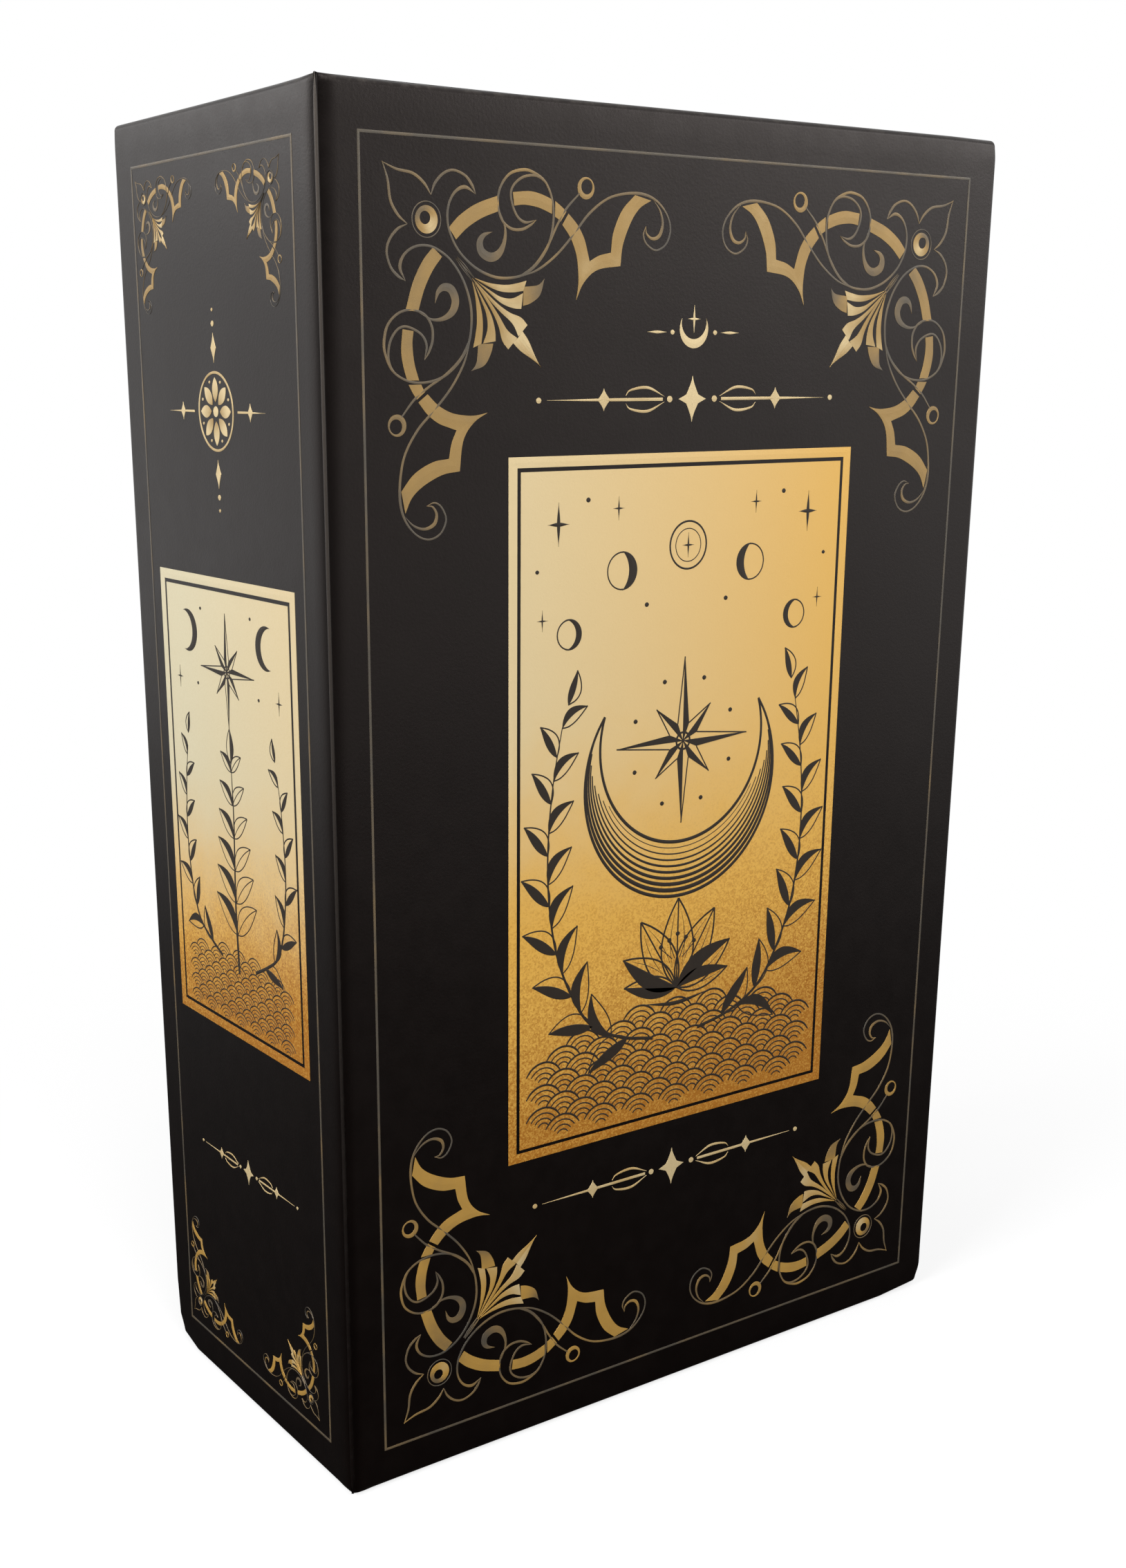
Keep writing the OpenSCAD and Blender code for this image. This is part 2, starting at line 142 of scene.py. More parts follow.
class GoldSettings(bpy.types.PropertyGroup):
    """Sizes and colours of the gold printing."""

    height: size_setting("Gold height", "How far the gold stands off the paper", 0.035)
    ink_height: size_setting("Ink height", "How far the dark drawing stands off the paper", 0.06)
    spine_scale: bpy.props.FloatProperty(
        name="Spine ornament scale", description="Size of the spine's corner ornaments beside the front's",
        default=0.39, min=0.2, max=1.0)
    pale: colour_setting("Pale gold", "The lightest gold", 0.62, 0.485, 0.265)
    bronze: colour_setting("Bronze gold", "The frame lines and hairlines", 0.081, 0.07, 0.055)
    ochre: colour_setting("Ochre gold", "The straps at the head", 0.32, 0.20, 0.065)
    honey: colour_setting("Honey gold", "The straps at the foot", 0.47, 0.27, 0.06)
    # whiter than the front's pale gold: partly print, partly a painted sheen on the spine's panel
    cream_and_sheen: colour_setting("Cream gold", "The lightest gold of the spine's panel", 0.58, 0.515, 0.345)
    amber: colour_setting("Amber gold", "The middle of the panels' gold", 0.66, 0.37, 0.065)
    deep: colour_setting("Deep gold", "The darkest of the panels' gold", 0.34, 0.13, 0.012)
    ink: colour_setting("Drawing ink", "The dark brown-black of the drawing", 0.012, 0.008, 0.005)


class ContentsSettings(bpy.types.PropertyGroup):
    """Sizes and colours of what the tray holds."""

    ribbon_bend: size_setting("Ribbon bend", "Radius of the ribbon's bends", 0.6)
    ribbon_slant: size_setting(
        "Ribbon slant", "How much longer the ribbon is at one edge of its cut end", 3.0)
    ribbon_lift: size_setting(
        "Ribbon lift", "How far the ribbon's free end lifts off the guidebook", 0.25)
    page: colour_setting("Page", "The guidebook's pages", 0.69, 0.60, 0.45)
    card_black: colour_setting("Card black", "The cards' printed faces", 0.02, 0.018, 0.016)
    card_edge: colour_setting("Card edge", "The cards' cut edges", 0.085, 0.075, 0.064)
    ribbon: colour_setting("Ribbon", "The satin ribbon", 0.014, 0.014, 0.016)


class StageSettings(bpy.types.PropertyGroup):
    """The floor and the lamps."""

    floor: colour_setting("Floor", "The floor to the camera", 0.80, 0.80, 0.80)
    # the floor's dark to reflections beside the box: partly a dark surface, partly a painted shadow
    table_and_shadow: colour_setting("Table", "The floor as the box reflects it", 0.009, 0.009, 0.009)
    key_power: amount_setting("Key lamp", "Power of the large soft lamp", 10.3, "POWER")
    spine_power: amount_setting("Spine lamp", "Power of the soft lamp on the spine's side", 12.0, "POWER")
    right_power: amount_setting(
        "Right lamp", "Power of the lamp that the top of the front reflects", 2.0, "POWER")
    left_power: amount_setting(
        "Left lamp", "Power of the lamp that the top of the spine reflects", 1.9, "POWER")
    sky: amount_setting("Sky", "Strength of the soft light from all round", 0.45)


# ---- curves and strips, in a face's own plane, in millimetres ----


def smooth(points, steps=10):
    """A Catmull-Rom curve: each stretch between two points is a cubic whose slope at a point is half
    the step from the point before it to the point after it."""
    given = np.asarray(points, float)
    padded = np.vstack([2 * given[0] - given[1], given, 2 * given[-1] - given[-2]])
    before, start, end, after = padded[:-3], padded[1:-2], padded[2:-1], padded[3:]
    t = np.linspace(0, 1, steps, endpoint=False)[:, None, None]
    curve = 0.5 * (
        2 * start
        + (end - before) * t
        + (2 * before - 5 * start + 4 * end - after) * t**2
        + (3 * start - before - 3 * end + after) * t**3
    )
    return np.vstack([curve.transpose(1, 0, 2).reshape(-1, given.shape[1]), given[-1:]])


def path_length(path):
    """How far along a path each of its points is."""
    return np.concatenate([[0], np.cumsum(np.linalg.norm(np.diff(path, axis=0), axis=1))])


def evenly(path, count):
    """A path's points looked up at equal steps of its length."""
    along = path_length(path)
    wanted = np.linspace(0, along[-1], count)
    return np.stack([np.interp(wanted, along, column) for column in path.T], axis=1)


def arc(centre, radius, start, end, count):
    """Points on a circle, from a start angle to an end angle in degrees."""
    angle = np.radians(np.linspace(start, end, count))
    return np.asarray(centre) + radius * np.stack([np.cos(angle), np.sin(angle)], axis=1)


def turned(points, degrees, centre=(0, 0)):
    """Points turned about a centre."""
    a = math.radians(degrees)
    spin = np.array([[math.cos(a), math.sin(a)], [-math.sin(a), math.cos(a)]])
    return np.asarray(points, float) @ spin + np.asarray(centre, float)


def moon_arcs(centre, radius, bite, shift, angle, count, short=0.0):
    """The outer and the inner arc of a moon: a circle bitten by one that is shifted towards an angle.  The
    arcs end where the circles cross, or `short` degrees before."""
    reach = math.degrees(math.acos((shift**2 + radius**2 - bite**2) / (2 * shift * radius))) + short
    inner = math.degrees(math.acos((radius**2 - shift**2 - bite**2) / (2 * shift * bite))) + short
    return (turned(arc((0, 0), radius, reach, 360 - reach, count), angle, centre),
            turned(arc((shift, 0), bite, inner, 360 - inner, count), angle, centre))


class Relief:
    """Thin raised printing, gathered as closed strips.  A strip lies between two edge lines with as many
    points; across is (1 - s) A(t) + s B(t), where s steps over the foot, the shoulder and the crown."""

    SHOULDER = 0.03  # the width of a shoulder, in millimetres
    NIB = 0.02  # the width of the narrowest stroke

    def __init__(self, weight=1.0, shine=1.0):
        self.strips = []
        self.weight = weight
        self.shine = shine

    def strip(self, edge_a, edge_b, gleam=0.4, ring=False, dome=0.3):
        """Adds the strip between two edges.  gleam is one number or one for each point, 0 for ochre and
        1 for pale; dome is the share of the height that the crown stands above the shoulders."""
        edge_a, edge_b = np.asarray(edge_a, float), np.asarray(edge_b, float)
        gleam = np.broadcast_to(np.asarray(gleam, float), (len(edge_a),))
        self.strips.append((edge_a, edge_b, gleam, ring, dome))
        return self

    def band(self, edge_a, edge_b, count, gleam_start, gleam_end):
        """The strip between two smooth lines, each looked up at as many even steps."""
        edge_a, edge_b = evenly(smooth(edge_a), count), evenly(smooth(edge_b), count)
        return self.strip(edge_a, edge_b, np.linspace(gleam_start, gleam_end, count))

    def stroke(self, points, widths, gleam=0.4, steps=10):
        """A pen stroke: the two edges are the smooth line through the points, plus and minus half its
        width along the line's normal."""
        points = np.asarray(points, float)
        widths = np.broadcast_to(np.asarray(widths, float), (len(points),))
        gleam = self.shine * np.broadcast_to(np.asarray(gleam, float), (len(points),))
        path = smooth(np.column_stack([points, widths, gleam]), steps)
        line, shine = path[:, :2], np.clip(path[:, 3], 0, 1)
        width = np.maximum(self.weight * path[:, 2], self.NIB)
        along = np.gradient(line, axis=0)
        along /= np.maximum(np.linalg.norm(along, axis=1, keepdims=True), 1e-9)
        side = np.stack([-along[:, 1], along[:, 0]], axis=1) * width[:, None] / 2
        return self.strip(line + side, line - side, shine)

    def line(self, start, end, width, gleam=0.4):
        """A straight stroke."""
        return self.stroke([start, end], width, gleam, steps=3)

    def ring(self, centre, outer, inner, shift=(0, 0), gleam=0.5, count=40):
        """A ring between two circles, the inner one shifted."""
        outside = arc(centre, outer, 0, 360, count + 1)[:-1]
        inside = arc(np.add(centre, shift), inner, 0, 360, count + 1)[:-1]
        return self.strip(outside, inside, gleam, ring=True)

    def disc(self, centre, radius, gleam=0.5, count=14):
        """A disc, as the strip between its upper and its lower half circle."""
        return self.strip(arc(centre, radius, 178, 2, count), arc(centre, radius, 182, 358, count), gleam)

    def crescent(self, centre, radius, bite, shift, angle, gleam=0.5, count=28):
        """A moon: the strip between the far arc of a circle and that of a smaller one shifted by `shift`
        towards `angle`."""
        return self.strip(*moon_arcs(centre, radius, bite, shift, angle, count, 0.5), gleam)

    def star(self, centre, longs, shorts, waist, line, gleam=0.5):
        """An eight-pointed compass star: each ray is a filled half and an outlined half."""
        for ray in range(8):
            angle = 90 + 45 * ray
            length = longs if ray % 2 == 0 else shorts
            tip = turned([(length, 0)], angle, centre)[0]
            left, right = (turned([(waist, 0)], angle + side, centre)[0] for side in (22.5, -22.5))
            self.strip([right, tip], [centre, tip + (0.01, 0.01)], gleam, dome=0)
            self.line(left, tip, line, gleam)
            self.line(centre, tip, line * 0.8, gleam)
        return self

    def sparkle(self, centre, size, gleam=0.5):
        """A four-pointed sparkle: two crossed strokes that are thick only in the middle."""
        for angle, share in ((0, 0.62), (90, 1.0)):
            ends = turned([(-size * share, 0), (0, 0), (size * share, 0)], angle, centre)
            self.stroke(ends, [0.03, size * 0.22, 0.03], gleam, steps=6)
        return self

    def lozenge(self, centre, half_w, half_h, gleam=0.5):
        """A lozenge with hollow sides."""
        tall = np.linspace(-1, 1, 11)
        wide = half_w * (1 - np.abs(tall)) ** 1.35 + 0.01
        up = centre[1] + half_h * tall
        edges = (np.stack([centre[0] + side * wide, up], axis=1) for side in (-1, 1))
        return self.strip(*edges, gleam)

    def leaf(self, base, angle, length, width, bend=0.15, line=0.2, fill=True, gleam=0.5):
        """A pointed leaf: its midrib is a parabola bent by `bend`, and its half width follows
        sin(pi t) to the power 0.8, fuller near the base.  One half is filled, the other outlined."""
        t = np.linspace(0, 1, 15)
        middle = np.stack([length * t, length * bend * 4 * t * (1 - t)], axis=1)
        half = width / 2 * np.sin(math.pi * t) ** 0.8 * (1.25 - 0.5 * t)
        upper, lower = middle + np.outer(half, (0, 1)), middle - np.outer(half, (0, 1))
        place = [turned(points, angle, base) for points in (upper, middle, lower)]
        if fill:
            self.strip(place[0], place[1] + 0.004, gleam, dome=0)
        else:
            self.stroke(place[0][::2], line, gleam, steps=3)
        self.stroke(place[1][::2], line * 0.9, gleam, steps=3)
        return self.stroke(place[2][::2], line, gleam, steps=3)

    def add(self, other, scale=1.0, flip=(1, 1), swap=False, offset=(0, 0), shine=1.0):
        """Adds another relief, scaled, flipped, mirrored about the diagonal if `swap`, then moved."""
        for edge_a, edge_b, gleam, ring, dome in other.strips:
            edges = [edge[:, ::-1] if swap else edge for edge in (edge_a, edge_b)]
            edges = [edge * scale * np.array(flip, float) + np.array(offset, float) for edge in edges]
            self.strips.append((*edges, shine * gleam, ring, dome))
        return self

    def build(self, name, place, height, material, sink=0.06):
        """Turns the strips into one mesh.  place maps across, up and height, in metres, to the box; sink
        is how far the strips' feet stand under the face, in millimetres."""
        points, shine, faces, first = [], [], [], 0
        for edge_a, edge_b, gleam, ring, dome in self.strips:
            width = np.linalg.norm(edge_b - edge_a, axis=1)
            shoulder = np.minimum(self.SHOULDER / np.maximum(width, 1e-6), 0.3)
            zero = np.zeros_like(shoulder)
            steps = np.stack([zero, shoulder, zero + 0.5, 1 - shoulder, zero + 1], axis=1)[:, :, None]
            flat = (1 - steps) * edge_a[:, None] + steps * edge_b[:, None]
            foot, side = -sink * MM, height * (1 - dome)
            rise = np.broadcast_to([foot, side, height, side, foot], flat.shape[:2])
            points.append(place(flat[..., 0] * MM, flat[..., 1] * MM, rise).reshape(-1, 3))
            rows, sides = rise.shape
            shine.append(np.repeat(gleam, sides))
            faces += (strip_faces(rows, sides, ring) + first).tolist()
            after = first + rows * sides
            if not ring:
                faces += [list(range(first, first + sides)), list(range(after - 1, after - sides - 1, -1))]
            first = after
        piece = solid(name, np.vstack(points), faces, material)
        layer = piece.data.attributes.new("gleam", "FLOAT", "POINT")
        layer.data.foreach_set("value", np.concatenate(shine).astype(np.float32))
        return piece


def raised(flat, level):
    """Rows of points in plan with their heights."""
    return np.concatenate([flat, np.broadcast_to(level, flat.shape[:2])[:, :, None]], axis=2)


def strip_faces(rows, sides, ring=False):
    """Quads between neighbouring rows of a tube with so many sides, joined end to end if a ring."""
    row = np.arange(rows if ring else rows - 1)[:, None]
    side = np.arange(sides)[None, :]
    after, beside = (row + 1) % rows, (side + 1) % sides
    corners = (row * sides + side, row * sides + beside, after * sides + beside, after * sides + side)
    return np.stack(corners, axis=-1).reshape(-1, 4)


def tube_faces(rows, sides):
    """Faces of a flattened tube whose ends are closed by quads from one half of a row to the other."""
    half = np.arange(sides // 2 - 1)
    cap = np.stack([half, half + 1, sides - 2 - half, sides - 1 - half], axis=1)
    return np.vstack([strip_faces(rows, sides), cap, cap[:, ::-1] + (rows - 1) * sides]).tolist()


def linked(name, data):
    """A new object, in the scene."""
    made = bpy.data.objects.new(name, data)
    bpy.context.scene.collection.objects.link(made)
    return made


def solid(name, points, faces, material, smooth_faces=False):
    """A closed mesh at the origin, with its faces turned outwards."""
    mesh = bpy.data.meshes.new(name)
    mesh.from_pydata(np.asarray(points, float).tolist(), [], [list(face) for face in faces])
    turner = bmesh.new()
    turner.from_mesh(mesh)
    bmesh.ops.recalc_face_normals(turner, faces=turner.faces)
    turner.to_mesh(mesh)
    turner.free()
    mesh.polygons.foreach_set("use_smooth", [smooth_faces] * len(mesh.polygons))
    if smooth_faces:
        mesh.set_sharp_from_angle(angle=math.radians(40))
    mesh.materials.append(material)
    return linked(name, mesh)


def on_front(across, up, height):
    """Puts a drawing on the front: across from the spine edge, up from the foot, height outwards."""
    return np.stack([X_SPINE + across, Y_FRONT - height, Z_FOOT + up], axis=-1)


def on_spine(across, up, height):
    """Puts a drawing on the spine: across from the hinge edge to the back, height outwards."""
    return np.stack([X_SPINE - height, Y_FRONT + across, Z_FOOT + up], axis=-1)


def on_middle(box):
    """A function that puts a drawing on a box's front, measured from the middle of that face."""
    middle = (box[0] + box[1]) / 2
    return lambda across, up, height: np.stack(
        [middle.x + across, box[0].y - height, middle.z + up], axis=-1)


# ---- nodes ----


class Nodes:
    """Adds nodes to a tree.  An input takes a value or another node's output."""

    def __init__(self, tree):
        self.tree = tree

    def feed(self, socket, value):
        """Sets a socket or links it.  A colour of three parts gets full alpha."""
        if isinstance(value, bpy.types.NodeSocket):
            self.tree.links.new(value, socket)
        else:
            whole = socket.type != "RGBA" or len(value) == 4
            socket.default_value = value if whole else (*value, 1.0)

    def add(self, kind, inputs=None, **settings):
        """A shader node with its settings and inputs."""
        made = self.tree.nodes.new("ShaderNode" + kind)
        for key, value in settings.items():
            setattr(made, key, value)
        for key, value in (inputs or {}).items():
            self.feed(made.inputs[key], value)
        return made

    def maths(self, operation, a, b=0.0, c=0.0):
        """The result of one Math node."""
        return self.add("Math", {0: a, 1: b, 2: c}, operation=operation).outputs[0]

    def times(self, a, b):
        """The product of two values."""
        return self.maths("MULTIPLY", a, b)

    def vector(self, operation, a, b=(0.0, 0.0, 0.0)):
        """The outputs of one Vector Math node."""
        return self.add("VectorMath", {0: a, 1: b}, operation=operation).outputs

    def ranged(self, value, low, high, to_low=0.0, to_high=1.0):
        """A value stretched from one range to another, smoothly, and kept inside it."""
        inputs = {0: value, 1: low, 2: high, 3: to_low, 4: to_high}
        return self.add("MapRange", inputs, interpolation_type="SMOOTHSTEP").outputs[0]

    def varied(self, noise, low, high):
        """A value between two values, as a noise goes."""
        return self.ranged(noise, 0.2, 0.8, low, high)

    def mixed(self, factor, a, b):
        """The colour between two colours."""
        return self.add("Mix", {0: factor, 6: a, 7: b}, data_type="RGBA").outputs[2]

    def mottled(self, factor, colour, dark, light):
        """The colour between a dark and a light share of one colour."""
        return self.mixed(factor, [dark * part for part in colour], [light * part for part in colour])

    def noise(self, vector, scale, detail=3.0, rough=0.5):
        """The value of a noise texture."""
        inputs = {"Vector": vector, "Scale": scale, "Detail": detail, "Roughness": rough}
        return self.add("TexNoise", inputs).outputs["Fac"]

    def place(self):
        """Where a point is, in the piece's own coordinates."""
        return self.add("TexCoord").outputs["Object"]

    def rays(self):
        """Whether the camera sees a point, and whether a shiny or a clear surface does."""
        path = self.add("LightPath").outputs
        mirrored = self.maths("MAXIMUM", path["Is Glossy Ray"], path["Is Transmission Ray"])
        return path["Is Camera Ray"], mirrored

    def apart(self, vector):
        """The three parts of a vector."""
        return self.add("SeparateXYZ", {0: vector}).outputs

    def stretched(self, vector, scale, shift=(0.0, 0.0, 0.0)):
        """Coordinates scaled, then shifted."""
        return self.add("Mapping", {"Vector": vector, "Location": shift, "Scale": scale}).outputs[0]

    def bump(self, height, distance, strength=1.0):
        """A normal from a height."""
        inputs = {"Height": height, "Distance": distance, "Strength": strength}
        return self.add("Bump", inputs).outputs[0]

    def group(self, tree, **inputs):
        """The outputs of a node group with its inputs set or linked."""
        return self.add("Group", inputs, node_tree=tree).outputs


class Finish(Nodes):
    """A new material round one Principled shader."""

    def __init__(self, name):
        self.material = bpy.data.materials.new(name)
        self.material.use_nodes = True
        super().__init__(self.material.node_tree)
        self.tree.nodes.clear()
        self.shader = self.add("BsdfPrincipled")
        self.output = self.add("OutputMaterial", {0: self.shader.outputs[0]})

    def shade(self, **inputs):
        """Sets the shader's inputs, named with underscores for spaces, and returns the material."""
        for key, value in inputs.items():
            self.feed(self.shader.inputs[key.replace("_", " ")], value)
        return self.material


def node_group(inputs, outputs):
    """Turns a function that adds nodes, and returns a value for each output, into one that gives the
    node group of its name, built when it is first asked for.  inputs gives each socket's kind."""
    def wrap(build):
        """Takes the function that adds the nodes."""
        def give():
            """The node group."""
            name = build.__name__
            if name not in bpy.data.node_groups:
                tree = bpy.data.node_groups.new(name, "ShaderNodeTree")
                for label, kind in inputs.items():
                    tree.interface.new_socket(label, in_out="INPUT", socket_type="NodeSocket" + kind)
                for label in outputs:
                    tree.interface.new_socket(label, in_out="OUTPUT", socket_type="NodeSocketFloat")
                values = build(Nodes(tree), tree.nodes.new("NodeGroupInput").outputs)
                end = tree.nodes.new("NodeGroupOutput")
                for label, value in zip(outputs, values):
                    tree.links.new(value, end.inputs[label])
            return bpy.data.node_groups[name]
        return give
    return wrap


@node_group({"Scale": "Float"}, ("Clouds", "Tooth", "Ripples"))
def paper_grain(nodes, given):
    """Paper grain: soft clouds, a tooth ten times finer, and ripples six times wider."""
    place, scale = nodes.place(), given["Scale"]
    return (nodes.noise(place, scale, 4.0, 0.6), nodes.noise(place, nodes.times(scale, 10.0), 2.0, 0.55),
            nodes.noise(place, nodes.maths("DIVIDE", scale, 6.0), 1.0, 0.4))


@node_group({"Way": "Vector"}, ("Share",))
def dark_side(nodes, given):
    """The room as the box reflects it: dark on the side that the photograph was taken from, and a
    little dimmer behind the box on the left."""
    way = nodes.vector("NORMALIZE", given["Way"])[0]
    towards = nodes.vector("DOT_PRODUCT", way, (-0.594, -0.804, 0.0))["Value"]
    behind = nodes.vector("DOT_PRODUCT", way, (-0.594, 0.804, 0.0))["Value"]
    return [nodes.times(nodes.ranged(towards, 0.05, 0.8, 1.0, 0.1),
                        nodes.ranged(behind, 0.2, 1.0, 1.0, 0.75))]


@node_group({"Low": "Vector", "High": "Vector", "Width": "Float"}, ("Mask",))
def rubbed_edges(nodes, given):
    """Rubbed edges of a box-shaped piece: of the three distances to its faces the middle one is small
    along an edge, and clouds break the mask up."""
    place = nodes.place()
    above = nodes.vector("SUBTRACT", place, given["Low"])[0]
    below = nodes.vector("SUBTRACT", given["High"], place)[0]
    x, y, z = nodes.apart(nodes.vector("MINIMUM", above, below)[0])
    lesser, greater = nodes.maths("MINIMUM", x, y), nodes.maths("MAXIMUM", x, y)
    middle = nodes.maths("MAXIMUM", lesser, nodes.maths("MINIMUM", greater, z))
    inside = nodes.ranged(nodes.maths("DIVIDE", middle, given["Width"]), 0.0, 1.0)
    patches = nodes.ranged(nodes.noise(place, 900.0, 5.0, 0.65), 0.42, 0.72)
    return [nodes.times(nodes.maths("SUBTRACT", 1.0, inside), patches)]


@node_group({"Cell": "Float"}, ("Clouds", "Glitter"))
def gold_grain(nodes, given):
    """Gold grain: clouds of tone and a glitter of fine cells, each with its own brightness."""
    place = nodes.place()
    scale = nodes.maths("DIVIDE", 1.0, given["Cell"])
    cells = nodes.add("TexVoronoi", {"Vector": place, "Scale": scale}).outputs["Color"]
    tone = nodes.add("SeparateColor", {0: cells}).outputs[0]
    softer = nodes.noise(place, nodes.times(scale, 0.45), 2.0, 0.7)
    glitter = nodes.maths("ADD", nodes.times(tone, 0.55), nodes.times(softer, 0.45))
    return nodes.noise(place, 260.0), glitter


# ---- materials ----


def printed_black(name, low, high, head_highlight=0.0):
    """Black printed paper under a satin laminate, with a faint grain and ripples and rubbed edges, and
    duller in the crease beside the hinge.  rub is how far a bead is rubbed all over at the head; it
    falls off by the square of the height."""
    paper = bpy.context.scene.box_paper
    nodes = Finish(name)
    grain = nodes.group(paper_grain(), Scale=420.0)
    wear = nodes.group(rubbed_edges(), Low=low, High=high, Width=0.55 * MM)["Mask"]
    place = nodes.place()
    # painted highlight: on the bead the edge colour is mixed in all over, rising with the square of the
    # height
    if head_highlight:
        up = nodes.maths("DIVIDE", nodes.apart(place)[2], Z_HEAD)
        worn, shine = nodes.times(nodes.maths("POWER", up, 2.0), head_highlight), 0.33
    else:
        # painted shade: the specular level drops within about 1.6 mm of the hinge, in place of the crease's
        # shade
        from_hinge = nodes.vector("SUBTRACT", place, (X_SPINE, Y_FRONT, 0.0))[0]
        away = nodes.vector("LENGTH", nodes.vector("MULTIPLY", from_hinge, (1.0, 1.0, 0.0))[0])["Value"]
        worn, shine = nodes.times(wear, 0.55), nodes.ranged(away, 0.5 * MM, 1.6 * MM, 0.15, 0.33)
    tone = nodes.mottled(nodes.ranged(grain["Clouds"], 0.3, 0.7), paper.black, 1.0, 1.2)
    rough = nodes.maths("ADD", nodes.varied(grain["Clouds"], 0.30, 0.36), nodes.times(wear, 0.15))
    height = nodes.maths("MULTIPLY_ADD", grain["Ripples"], 14.0, grain["Tooth"])
    return nodes.shade(
        Base_Color=nodes.mixed(worn, tone, paper.worn), Roughness=rough, Specular_IOR_Level=shine,
        Specular_Tint=(1.0, 0.88, 0.83), Normal=nodes.bump(height, 0.009 * MM))


def plain_paper(name, colour, rough, tooth, level=0.3, scale=600.0):
    """Uncoated paper: mottled, matt and toothy."""
    nodes = Finish(name)
    grain = nodes.group(paper_grain(), Scale=scale)
    return nodes.shade(
        Base_Color=nodes.mottled(nodes.ranged(grain["Clouds"], 0.25, 0.75), colour, 0.8, 1.2),
        Roughness=nodes.varied(grain["Tooth"], rough, rough + 0.1),
        Specular_IOR_Level=level, Normal=nodes.bump(grain["Tooth"], tooth))


def gold_line():
    """Satin gold of the lines and ornaments: bronze, ochre or pale by the drawing's own gleam."""
    gold = bpy.context.scene.box_gold
    nodes = Finish("gold_line")
    grain = nodes.group(gold_grain(), Cell=0.09 * MM)
    gleam = nodes.add("Attribute", attribute_name="gleam").outputs["Fac"]
    clouds = nodes.times(nodes.maths("SUBTRACT", grain["Clouds"], 0.5), 0.5)
    tone = nodes.maths("ADD", gleam, clouds)
    up = nodes.apart(nodes.place())[2]
    strap = nodes.mixed(nodes.ranged(up, 30 * MM, 100 * MM), gold.honey, gold.ochre)
    dull = nodes.mixed(nodes.ranged(tone, 0.0, 0.55), gold.bronze, strap)
    return nodes.shade(
        Base_Color=nodes.mixed(nodes.ranged(tone, 0.5, 1.0), dull, gold.pale), Metallic=0.3,
        Roughness=nodes.varied(grain["Glitter"], 0.36, 0.48),
        Normal=nodes.bump(grain["Glitter"], 0.004 * MM))


def gold_field(name, low, high, pale, pale_from, pale_to, shade_to_right):
    """The panels' gold: pale at the upper left, amber in the middle, deep and glittering at the foot.
    The tone is worked out on the panel's own face, 0 at its foot and 1 at its head.  It turns pale
    between two heights, and less so towards the right."""
    gold = bpy.context.scene.box_gold
    nodes = Finish(name)
    size = [max(high[axis] - low[axis], MM) for axis in range(3)]
    start = [-low[axis] / size[axis] for axis in range(3)]
    fitted = nodes.apart(nodes.stretched(nodes.place(), [1 / part for part in size], start))
    grain = nodes.group(gold_grain(), Cell=0.16 * MM)
    across = fitted[0] if size[0] > size[1] else nodes.maths("SUBTRACT", 1.0, fitted[1])
    up = nodes.maths("MULTIPLY_ADD", nodes.maths("SUBTRACT", grain["Clouds"], 0.5), 0.12, fitted[2])
    # painted shade: the tone darkens towards the right of the panel
    tone = nodes.maths("MULTIPLY_ADD", across, -0.14, up)
    glitter = nodes.times(nodes.maths("SUBTRACT", grain["Glitter"], 0.5),
                          nodes.ranged(tone, 0.20, 0.55, 1.3, 0.06))
    warmth = nodes.maths("ADD", nodes.ranged(tone, -0.12, 0.40), glitter)
    # painted light: the pale share falls off towards the right
    light = nodes.times(nodes.ranged(up, pale_from, pale_to),
                        nodes.maths("MULTIPLY_ADD", across, -shade_to_right, 1.05))
    return nodes.shade(
        Base_Color=nodes.mixed(light, nodes.mixed(warmth, gold.deep, gold.amber), pale), Metallic=0.14,
        Roughness=nodes.varied(grain["Glitter"], 0.36, 0.5),
        Normal=nodes.bump(grain["Glitter"], 0.006 * MM))


def drawing_ink():
    """Dark ink on the gold, faintly uneven."""
    nodes = Finish("drawing_ink")
    grain = nodes.group(paper_grain(), Scale=900.0)
    return nodes.shade(
        Base_Color=nodes.mottled(grain["Clouds"], bpy.context.scene.box_gold.ink, 1.0, 1.8),
        Roughness=nodes.varied(grain["Tooth"], 0.45, 0.6), Specular_IOR_Level=0.35,
        Normal=nodes.bump(grain["Tooth"], 0.003 * MM))


def metal(name, colour, rough, streak):
    """Plain bright metal, drawn along its length."""
    nodes = Finish(name)
    lines = nodes.noise(nodes.stretched(nodes.place(), (1.0, 1.0, streak)), 5000.0, 3.0, 0.6)
    return nodes.shade(
        Base_Color=nodes.mottled(lines, colour, 0.8, 1.0), Metallic=1.0,
        Roughness=nodes.varied(lines, rough, rough + 0.15), Normal=nodes.bump(lines, 0.004 * MM))


def card_stock():
    """Cards: black coated faces, and cut edges whose tone changes from card to card."""
    contents = bpy.context.scene.box_contents
    nodes = Finish("card_stock")
    facing = nodes.apart(nodes.add("TexCoord").outputs["Normal"])[1]
    flat = nodes.ranged(nodes.maths("ABSOLUTE", facing), 0.6, 0.9)
    layers = nodes.noise(nodes.stretched(nodes.place(), (60.0, 4200.0, 60.0)), 1.0, 4.0, 0.7)
    edge = nodes.mottled(nodes.ranged(layers, 0.3, 0.7), contents.card_edge, 0.45, 1.5)
    grain = nodes.group(paper_grain(), Scale=700.0)
    return nodes.shade(
        Base_Color=nodes.mixed(flat, edge, contents.card_black), Specular_IOR_Level=0.4,
        Roughness=nodes.ranged(flat, 0.0, 1.0, 0.75, 0.4), Normal=nodes.bump(grain["Tooth"], 0.004 * MM))


